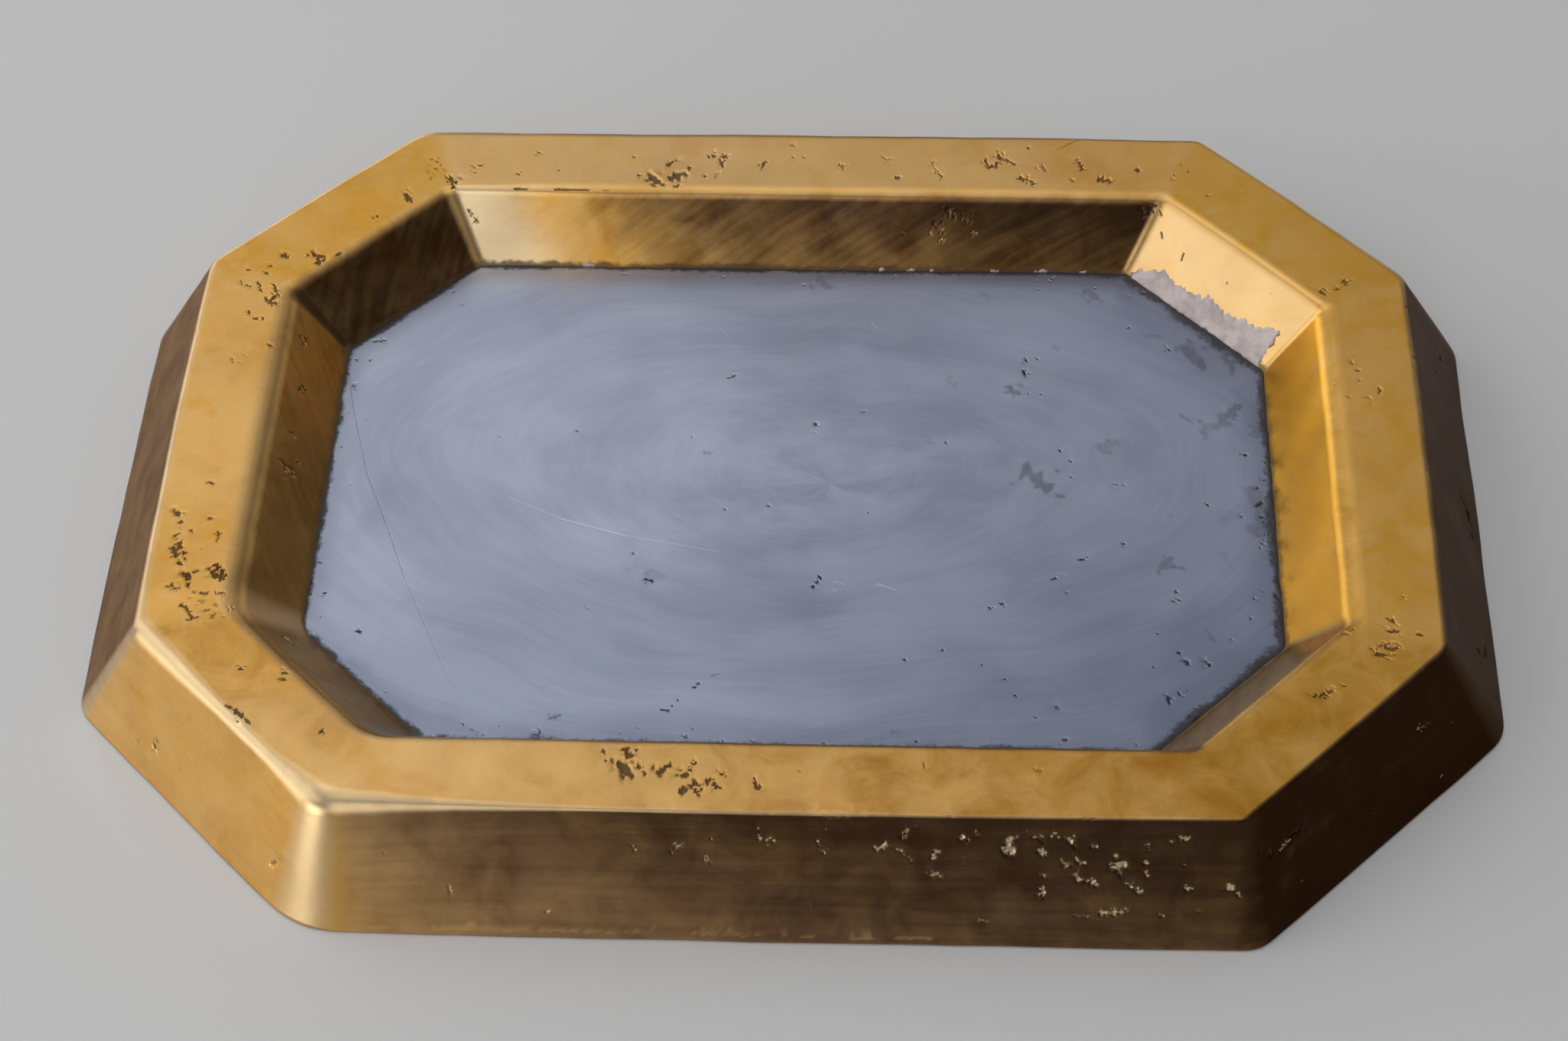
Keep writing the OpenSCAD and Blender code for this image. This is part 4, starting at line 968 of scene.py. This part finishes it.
# ---------------------------------------------------------------- materials
class Nodes:
    """A short way to write a material's node tree."""

    def __init__(self, name):
        self.mat = bpy.data.materials.new(name)
        self.mat.use_nodes = True
        self.tree = self.mat.node_tree
        self.out = self.tree.nodes["Principled BSDF"]

    def link(self, value, socket):
        if isinstance(value, bpy.types.NodeSocket):
            self.tree.links.new(value, socket)
        elif value is not None:
            socket.default_value = value

    def node(self, kind, inputs=(), **props):
        n = self.tree.nodes.new(kind)
        for key, value in props.items():
            setattr(n, key, value)
        for key, value in dict(inputs).items():
            self.link(value, n.inputs[key])
        return n

    def place(self):
        """Where the point is, in millimetres."""
        tex = self.node("ShaderNodeTexCoord").outputs["Object"]
        return self.node("ShaderNodeVectorMath", {0: tex, 1: (1000.0, 1000.0, 1000.0)}, operation="MULTIPLY").outputs[0]

    def scale(self, vector, factors):
        return self.node("ShaderNodeVectorMath", {0: vector, 1: factors}, operation="MULTIPLY").outputs[0]

    def shift(self, vector, by):
        return self.node("ShaderNodeVectorMath", {0: vector, 1: by}, operation="ADD").outputs[0]

    def value_of(self, name):
        return self.node("ShaderNodeAttribute", attribute_name=name, attribute_type="GEOMETRY").outputs["Fac"]

    def vector_of(self, name):
        return self.node("ShaderNodeAttribute", attribute_name=name, attribute_type="GEOMETRY").outputs["Vector"]

    def noise(self, vector, size, detail=3.0, rough_=0.5, warp=0.0):
        n = self.node("ShaderNodeTexNoise", {"Vector": vector, "Scale": 1.0 / size, "Detail": detail, "Roughness": rough_, "Distortion": warp})
        return n.outputs["Fac"]

    def math(self, op, a, b=None, c=None):
        n = self.node("ShaderNodeMath", operation=op)
        for i, v in enumerate((a, b, c)):
            if v is not None:
                self.link(v, n.inputs[i])
        return n.outputs[0]

    def band(self, value, lo, hi, a=0.0, b=1.0):
        """a below lo, b above hi and a smooth step between."""
        n = self.node("ShaderNodeMapRange", {"Value": value, "From Min": lo, "From Max": hi, "To Min": a, "To Max": b},
                      interpolation_type="SMOOTHSTEP")
        return n.outputs["Result"]

    def mix(self, f, a, b):
        n = self.node("ShaderNodeMix", data_type="RGBA", blend_type="MIX")
        self.link(f, n.inputs[0])
        for v, socket in ((a, n.inputs[6]), (b, n.inputs[7])):
            self.link(v if isinstance(v, bpy.types.NodeSocket) else (*v, 1.0), socket)
        return n.outputs[2]

    def tint(self, f, a, b):
        n = self.node("ShaderNodeMix", data_type="RGBA", blend_type="MULTIPLY")
        self.link(f, n.inputs[0])
        for v, socket in ((a, n.inputs[6]), (b, n.inputs[7])):
            self.link(v if isinstance(v, bpy.types.NodeSocket) else (*v, 1.0), socket)
        return n.outputs[2]

    def bump(self, height, strength, distance, normal=None):
        n = self.node("ShaderNodeBump", {"Height": height, "Strength": strength, "Distance": distance})
        if normal is not None:
            self.link(normal, n.inputs["Normal"])
        return n.outputs["Normal"]


def brass_material():
    m = Nodes("brass")
    p = m.place()
    run = m.vector_of("run")
    pit, tint, wear_and_highlight, glint_mask = (m.value_of(n) for n in ("pit", "tint", "wear_and_highlight", "bright"))
    inner, outer, patina_and_shade = (m.value_of(n) for n in ("inner", "outer", "patina_and_shade"))
    spot_at = m.node("ShaderNodeSeparateXYZ", {0: p})
    x, y, z = (spot_at.outputs[n] for n in "XYZ")
    broad = m.noise(p, 34.0, 3.0, 0.55)
    blotch = m.noise(m.shift(p, (31.0, 7.0, 3.0)), 8.0, 5.0, 0.6, 0.5)
    mottle = m.noise(m.shift(p, (3.0, 71.0, 13.0)), 2.6, 4.0, 0.6)
    fine = m.noise(p, 0.9, 3.0, 0.6)
    # The walls were brushed along their length, the inner ones a little aslant
    slant = m.node("ShaderNodeVectorRotate", {"Vector": run, "Angle": math.radians(-32.0)}, rotation_type="Z_AXIS").outputs[0]
    along = m.noise(m.scale(run, (0.022, 0.50, 1.0)), 1.0, 3.0, 0.55)
    across = m.noise(m.scale(slant, (0.06, 0.58, 1.0)), 1.0, 2.5, 0.5)
    streak = m.math("ADD", m.math("MULTIPLY", along, m.math("SUBTRACT", 1.0, inner)), m.math("MULTIPLY", across, inner))
    walls = m.math("MINIMUM", m.math("ADD", inner, outer), 1.0)
    hair = m.noise(m.scale(run, (0.25, 7.0, 1.0)), 1.0, 3.0, 0.6)
    colour = m.mix(m.band(broad, 0.34, 0.66), (0.79, 0.442, 0.112), (0.85, 0.500, 0.160))
    colour = m.mix(m.math("MULTIPLY", m.band(blotch, 0.49, 0.70), 0.62), colour, (0.795, 0.385, 0.058))
    colour = m.mix(m.math("MULTIPLY", m.band(mottle, 0.50, 0.74), 0.42), colour, (0.86, 0.560, 0.235))
    cloud = m.noise(m.shift(p, (17.0, 5.0, 41.0)), 15.0, 4.0, 0.62, 0.4)
    colour = m.tint(m.math("MULTIPLY", m.band(cloud, 0.45, 0.68), 0.42), colour, (0.78, 0.66, 0.50))
    patch = m.math("ADD", tint, m.math("MULTIPLY", m.math("SUBTRACT", blotch, 0.5), m.math("MULTIPLY", m.band(tint, 0.0, 0.7), 1.5)))
    # Painted reflection: the back part of the right inner wall is a brighter gold, standing in for light it catches
    lit_gold = m.mix(m.math("MULTIPLY", m.math("MULTIPLY", inner, m.band(x, 70.0, 74.0)), m.band(y, -16.0, 20.0)), (0.76, 0.395, 0.045), (0.98, 0.525, 0.050))
    colour = m.mix(m.math("MULTIPLY", m.band(patch, 0.15, 0.85), m.math("ADD", 0.76, m.math("MULTIPLY", inner, 0.16))), colour, lit_gold)
    worn = m.math("MULTIPLY", m.math("MULTIPLY", m.band(x, 14.0, -24.0), m.band(y, -48.0, -56.0)), m.math("SUBTRACT", 1.0, walls))
    colour = m.mix(m.math("MULTIPLY", worn, 0.32), colour, (0.78, 0.53, 0.27))
    colour = m.tint(m.math("MULTIPLY", m.band(streak, 0.40, 0.72), m.math("ADD", m.math("MULTIPLY", outer, 0.13), m.math("MULTIPLY", inner, 0.14))), colour, (0.66, 0.58, 0.50))
    colour = m.tint(m.math("MULTIPLY", m.band(fine, 0.55, 0.80), 0.16), colour, (0.62, 0.52, 0.42))
    # Brown patina, broken up by the blotches and the brushing. On the walls it is also painted shade, a darker and
    # bluer brown where they mirror dark surroundings
    stir = m.math("ADD", m.math("MULTIPLY", m.math("SUBTRACT", blotch, 0.5), m.math("SUBTRACT", 0.9, m.math("MULTIPLY", walls, 0.3))),
                  m.math("MULTIPLY", m.math("SUBTRACT", streak, 0.5), m.math("ADD", m.math("MULTIPLY", outer, 0.30), m.math("MULTIPLY", inner, 0.46))))
    old = m.math("ADD", patina_and_shade, m.math("MULTIPLY", stir, m.math("MULTIPLY", m.band(patina_and_shade, 0.0, 0.3), 0.9)))
    colour = m.mix(m.math("MULTIPLY", m.band(patina_and_shade, 0.0, -0.9), 0.95), colour, (0.92, 0.71, 0.43))
    haze = m.math("MULTIPLY", m.math("MULTIPLY", m.band(patina_and_shade, 0.05, 0.35), m.band(patina_and_shade, 0.95, 0.58)), m.math("MULTIPLY", outer, 0.40))
    colour = m.mix(haze, colour, (0.75, 0.49, 0.29))
    patina_shade_brown = m.mix(walls, (0.38, 0.305, 0.24), (0.12, 0.110, 0.20))
    # Painted shade: the outer wall darker at its left and right ends, where it mirrors dark surroundings
    patina_shade_brown = m.mix(m.math("MULTIPLY", m.band(x, -96.0, -102.0), outer), patina_shade_brown, (0.10, 0.070, 0.07))
    patina_shade_brown = m.mix(m.math("MULTIPLY", m.band(x, 64.0, 70.0), outer), patina_shade_brown, (0.058, 0.042, 0.060))
    colour = m.tint(m.band(old, 0.0, 1.0), colour, patina_shade_brown)
    # Paler metal on the roundings: rubbed wear, and painted highlight at the front left
    colour = m.mix(m.math("MULTIPLY", m.math("MULTIPLY", wear_and_highlight, m.math("SUBTRACT", 1.0, m.math("MULTIPLY", patina_and_shade, 0.6))), 0.70), colour, (0.94, 0.78, 0.50))
    # Soot and oxide where the wall meets the floor, and in the pits
    low = m.math("SUBTRACT", z, m.math("MULTIPLY", m.math("SUBTRACT", m.noise(p, 2.4, 4.0, 0.65), 0.35), 2.2))
    soot = m.math("MULTIPLY", m.band(low, 9.3, 8.5), inner)
    deep = m.band(m.math("MULTIPLY", pit, m.math("ADD", m.noise(p, 0.45, 2.0), 0.55)), 0.22, 0.92)
    dark = m.math("MAXIMUM", deep, m.math("MULTIPLY", soot, 0.8))
    colour = m.mix(m.math("MULTIPLY", dark, 0.84), colour, (0.105, 0.064, 0.034))
    # Painted highlight: pale, less metallic spots in the glint pits, so they look lit under any lamp
    painted_glint = m.math("MULTIPLY", m.band(glint_mask, 0.15, 0.70), m.band(m.noise(p, 0.7, 3.0), 0.36, 0.56))
    colour = m.mix(m.math("MULTIPLY", painted_glint, 0.80), colour, (0.88, 0.70, 0.44))
    m.link(colour, m.out.inputs["Base Color"])
    # The patina keeps its colour at a glancing angle, where bare brass turns white
    glance = m.mix(m.band(x, -20.0, 20.0), (0.83, 0.62, 0.46), (0.70, 0.62, 0.57))
    m.link(m.mix(m.math("MULTIPLY", outer, m.band(patina_and_shade, 0.30, 0.90)), (1.0, 1.0, 1.0), glance), m.out.inputs["Specular Tint"])
    m.link(m.band(m.math("MAXIMUM", dark, m.math("MULTIPLY", painted_glint, 0.7)), 0.3, 1.0, 1.0, 0.40), m.out.inputs["Metallic"])
    rough_ = m.math("ADD", m.math("SUBTRACT", 0.30, m.math("MULTIPLY", inner, 0.04)), m.math("MULTIPLY", blotch, 0.08))
    rough_ = m.math("ADD", rough_, m.math("MULTIPLY", m.math("SUBTRACT", hair, 0.5), 0.08))
    rough_ = m.math("ADD", rough_, m.math("MULTIPLY", dark, 0.35))
    m.link(rough_, m.out.inputs["Roughness"])
    grain = m.math("ADD", m.math("MULTIPLY", hair, m.math("ADD", 0.05, m.math("MULTIPLY", walls, 0.07))),
                   m.math("MULTIPLY", streak, m.math("ADD", 0.02, m.math("MULTIPLY", walls, 0.16))))
    normal = m.bump(grain, 0.20, 0.00006)
    normal = m.bump(m.noise(p, 0.8, 4.0, 0.62), 0.14, 0.00005, normal)
    m.link(normal, m.out.inputs["Normal"])
    return m.mat


def aluminium_material():
    m = Nodes("aluminium")
    p = m.place()
    pit, bright, stain, seam, film_ = (m.value_of(n) for n in ("pit", "bright", "stain", "seam", "film"))
    # The floor was rubbed in long ovals: millimetres out from the middle, and the way round
    drift = m.node("ShaderNodeTexNoise", {"Vector": p, "Scale": 1 / 55.0, "Detail": 2.0}).outputs["Color"]
    warped = m.shift(p, m.scale(m.shift(drift, (-0.5, -0.5, -0.5)), (26.0, 20.0, 0.0)))
    flat = m.scale(m.shift(warped, (-4.0, -4.0, 0.0)), (0.55, 1.0, 0.0))
    out_ = m.node("ShaderNodeVectorMath", {0: flat}, operation="LENGTH").outputs["Value"]
    way = m.node("ShaderNodeSeparateXYZ", {0: m.node("ShaderNodeVectorMath", {0: flat}, operation="NORMALIZE").outputs[0]})

    def swirl(wide, turns, detail):
        v = m.node("ShaderNodeCombineXYZ", {"X": m.math("DIVIDE", out_, wide), "Y": m.math("MULTIPLY", way.outputs["X"], turns),
                                            "Z": m.math("MULTIPLY", way.outputs["Y"], turns)}).outputs[0]
        return m.noise(v, 1.0, detail, 0.62)

    sweep, ring, scratch = swirl(11.0, 1.1, 3.0), swirl(3.0, 2.2, 2.0), swirl(0.60, 4.0, 1.0)
    cloud = m.noise(m.shift(p, (9.0, 44.0, 0.0)), 22.0, 4.0, 0.6, 0.5)
    fine = m.noise(p, 1.3, 4.0, 0.6)
    colour = m.mix(m.band(sweep, 0.32, 0.68), (0.395, 0.434, 0.555), (0.500, 0.542, 0.672))
    colour = m.mix(m.math("MULTIPLY", m.band(ring, 0.34, 0.72), 0.13), colour, (0.545, 0.570, 0.655))
    colour = m.tint(m.math("MULTIPLY", m.band(scratch, 0.25, 0.75), 0.16), colour, (0.62, 0.62, 0.64))
    colour = m.tint(m.math("MULTIPLY", m.band(cloud, 0.46, 0.78), 0.42), colour, (0.74, 0.74, 0.78))
    colour = m.tint(m.math("MULTIPLY", m.band(fine, 0.55, 0.78), 0.10), colour, (0.7, 0.7, 0.7))
    x = m.node("ShaderNodeSeparateXYZ", {0: m.shift(p, m.scale(m.shift(drift, (-0.5, -0.5, -0.5)), (60.0, 0.0, 0.0)))}).outputs["X"]
    colour = m.tint(m.band(x, -30.0, 75.0), colour, (0.78, 0.79, 0.83))
    y = m.node("ShaderNodeSeparateXYZ", {0: m.shift(p, m.scale(m.shift(drift, (-0.5, -0.5, -0.5)), (0.0, 50.0, 0.0)))}).outputs["Y"]
    colour = m.tint(m.band(y, 12.0, -46.0), colour, (0.80, 0.81, 0.83))
    ragged = m.math("MULTIPLY", m.math("SUBTRACT", m.noise(p, 2.6, 5.0, 0.62), 0.5), 1.3)
    spot = m.band(m.math("ADD", stain, m.math("MULTIPLY", ragged, m.band(stain, 0.02, 0.25))), 0.05, 1.0)
    colour = m.mix(m.math("MULTIPLY", spot, 0.60), colour, (0.15, 0.155, 0.19))
    colour = m.mix(m.math("MULTIPLY", bright, 0.7), colour, (0.80, 0.82, 0.86))
    skin_ = m.mix(m.band(m.noise(p, 3.0, 4.0, 0.6), 0.35, 0.65), (0.48, 0.41, 0.405), (0.62, 0.545, 0.53))
    colour = m.mix(film_, colour, skin_)
    # Soot in the seam round the floor, and a soft haze beside it
    crumbs = m.noise(m.shift(p, (5.0, 9.0, 0.0)), 1.6, 5.0, 0.72)
    swell = m.noise(m.shift(p, (15.0, 2.0, 0.0)), 11.0, 2.0, 0.5)
    reach = m.math("SUBTRACT", seam, m.math("MULTIPLY", m.math("SUBTRACT", m.math("ADD", m.math("MULTIPLY", crumbs, 0.55), m.math("MULTIPLY", swell, 0.45)), 0.44), 4.5))
    soot = m.math("MULTIPLY", m.band(reach, 1.10, 0.20), m.math("SUBTRACT", 1.0, film_))
    haze = m.math("MULTIPLY", m.band(m.math("SUBTRACT", seam, m.math("MULTIPLY", swell, 4.0)), 4.0, -2.0), 0.40)
    deep = m.band(m.math("MULTIPLY", pit, m.math("ADD", m.noise(p, 0.5, 2.0), 0.6)), 0.20, 0.9)
    dark = m.math("MAXIMUM", deep, m.math("MULTIPLY", soot, 0.88))
    colour = m.tint(haze, colour, (0.42, 0.42, 0.47))
    colour = m.mix(dark, colour, (0.035, 0.031, 0.031))
    m.link(colour, m.out.inputs["Base Color"])
    m.link(m.band(dark, 0.2, 1.0, 1.0, 0.35), m.out.inputs["Metallic"])
    rough_ = m.math("ADD", 0.28, m.math("MULTIPLY", m.math("SUBTRACT", sweep, 0.5), 0.08))
    rough_ = m.math("ADD", rough_, m.math("MULTIPLY", m.math("SUBTRACT", ring, 0.5), 0.03))
    rough_ = m.math("ADD", rough_, m.math("MULTIPLY", m.math("MAXIMUM", m.math("MAXIMUM", dark, spot), film_), 0.22))
    m.link(rough_, m.out.inputs["Roughness"])
    return m.mat


brass.data.materials.append(brass_material())
alu.data.materials.append(aluminium_material())
for obj, node, slot in ((brass, "brass_frame", "brass"), (alu, "aluminium_base", "aluminium")):
    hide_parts(node)
    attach(obj, "root")

# ---------------------------------------------------------------- floor, camera and light
floor_mesh = bpy.data.meshes.new("studio_floor")
floor_mesh.from_pydata([(-3, -3, 0), (3, -3, 0), (3, 3, 0), (-3, 3, 0)], [], [(0, 1, 2, 3)])
studio = bpy.data.objects.new("studio_floor", floor_mesh)
studio.location = (0, 0, -0.0001)
bpy.context.scene.collection.objects.link(studio)
fm = Nodes("studio_floor")
fm.link((0.78, 0.78, 0.785, 1), fm.out.inputs["Base Color"])
fm.link(0.32, fm.out.inputs["Roughness"])
floor_mesh.materials.append(fm.mat)

cam = bpy.data.cameras.new("camera")
cam.sensor_fit = "HORIZONTAL"
cam.sensor_width = 36.0
cam.lens = 73.7565
cam.clip_start = 0.01
camera = bpy.data.objects.new("camera", cam)
right, down, ahead = Vector((0.999106, 0.037769, -0.018984)), Vector((0.01674, -0.765885, -0.64276)), Vector((-0.038816, 0.641867, -0.765833))
camera.matrix_world = Matrix((
    (right.x, -down.x, -ahead.x, 0.018112),
    (right.y, -down.y, -ahead.y, -0.332735),
    (right.z, -down.z, -ahead.z, 0.397910),
    (0, 0, 0, 1),
))
bpy.context.scene.collection.objects.link(camera)
bpy.context.scene.camera = camera


def softbox(name, azimuth, elevation, distance, width, height, radiance, colour=(1, 1, 1)):
    """A rectangular lamp that faces the tray, given by its direction from it and how bright its surface looks."""
    a, e = math.radians(azimuth), math.radians(elevation)
    way = Vector((math.cos(e) * math.cos(a), math.cos(e) * math.sin(a), math.sin(e)))
    lamp = bpy.data.lights.new(name, "AREA")
    lamp.shape = "RECTANGLE"
    lamp.size, lamp.size_y = width, height
    lamp.energy = radiance * math.pi * width * height
    lamp.color = colour
    obj = bpy.data.objects.new(name, lamp)
    obj.location = way * distance
    obj.rotation_euler = (-way).to_track_quat("-Z", "Y").to_euler()
    obj.visible_camera = False
    bpy.context.scene.collection.objects.link(obj)
    return obj


LIGHTS = {
    # name: azimuth, elevation, distance, width, height, radiance, colour
    "left": (192, 9, 1.5, 0.53, 0.50, 2, (1, 1, 1)),
    "left_high": (184, 36, 1.5, 1.50, 1.00, 1.00, (1, 1, 1)),
    "left_near": (223, 8, 1.5, 0.64, 0.42, 3.3, (1, 1, 1)),
    "front_left": (256, 34, 1.5, 0.46, 1.20, 1.45, (1, 1, 1)),
    "front_mid": (274, 34, 1.5, 0.46, 1.20, 0.12, (1, 1, 1)),
    "front": (292, 50, 1.5, 0.75, 0.80, 0.15, (1, 1, 1)),
    "front_right": (322, 36, 1.5, 1.20, 0.90, 0.30, (1, 1, 1)),
    "back_left": (146, 44, 1.5, 1.05, 1.50, 0.52, (1, 1, 1)),
    "back_1": (114, 44, 1.5, 0.66, 1.40, 0.5, (1, 1, 1)),
    "back_2": (92, 44, 1.5, 0.66, 1.40, 0.285, (1, 1, 1)),
    "back_3": (70, 44, 1.5, 0.66, 1.40, 0.3, (1, 1, 1)),
    "back_left_low": (135, 9, 1.5, 1.80, 0.50, 1.5, (1, 1, 1)),
    "back_right_low": (58, 9, 1.5, 0.90, 0.50, 0.50, (1, 1, 1)),
    "back_right": (45, 32, 1.5, 0.75, 0.90, 0.12, (1, 1, 1)),
    "front_high": (330, 63, 1.5, 0.95, 0.70, 0.55, (1, 1, 1)),
    "over": (0, 90, 1.5, 1.20, 1.20, 0.75, (1, 1, 1)),
}
for name, row in LIGHTS.items():
    softbox(name, *row)
world = bpy.data.worlds.new("studio")
world.use_nodes = True
world.node_tree.nodes["Background"].inputs["Color"].default_value = (0.95, 0.97, 1.0, 1)
world.node_tree.nodes["Background"].inputs["Strength"].default_value = 0.015
bpy.context.scene.world = world
bpy.context.scene.view_settings.view_transform = "Standard"

bpy.context.view_layer.update()
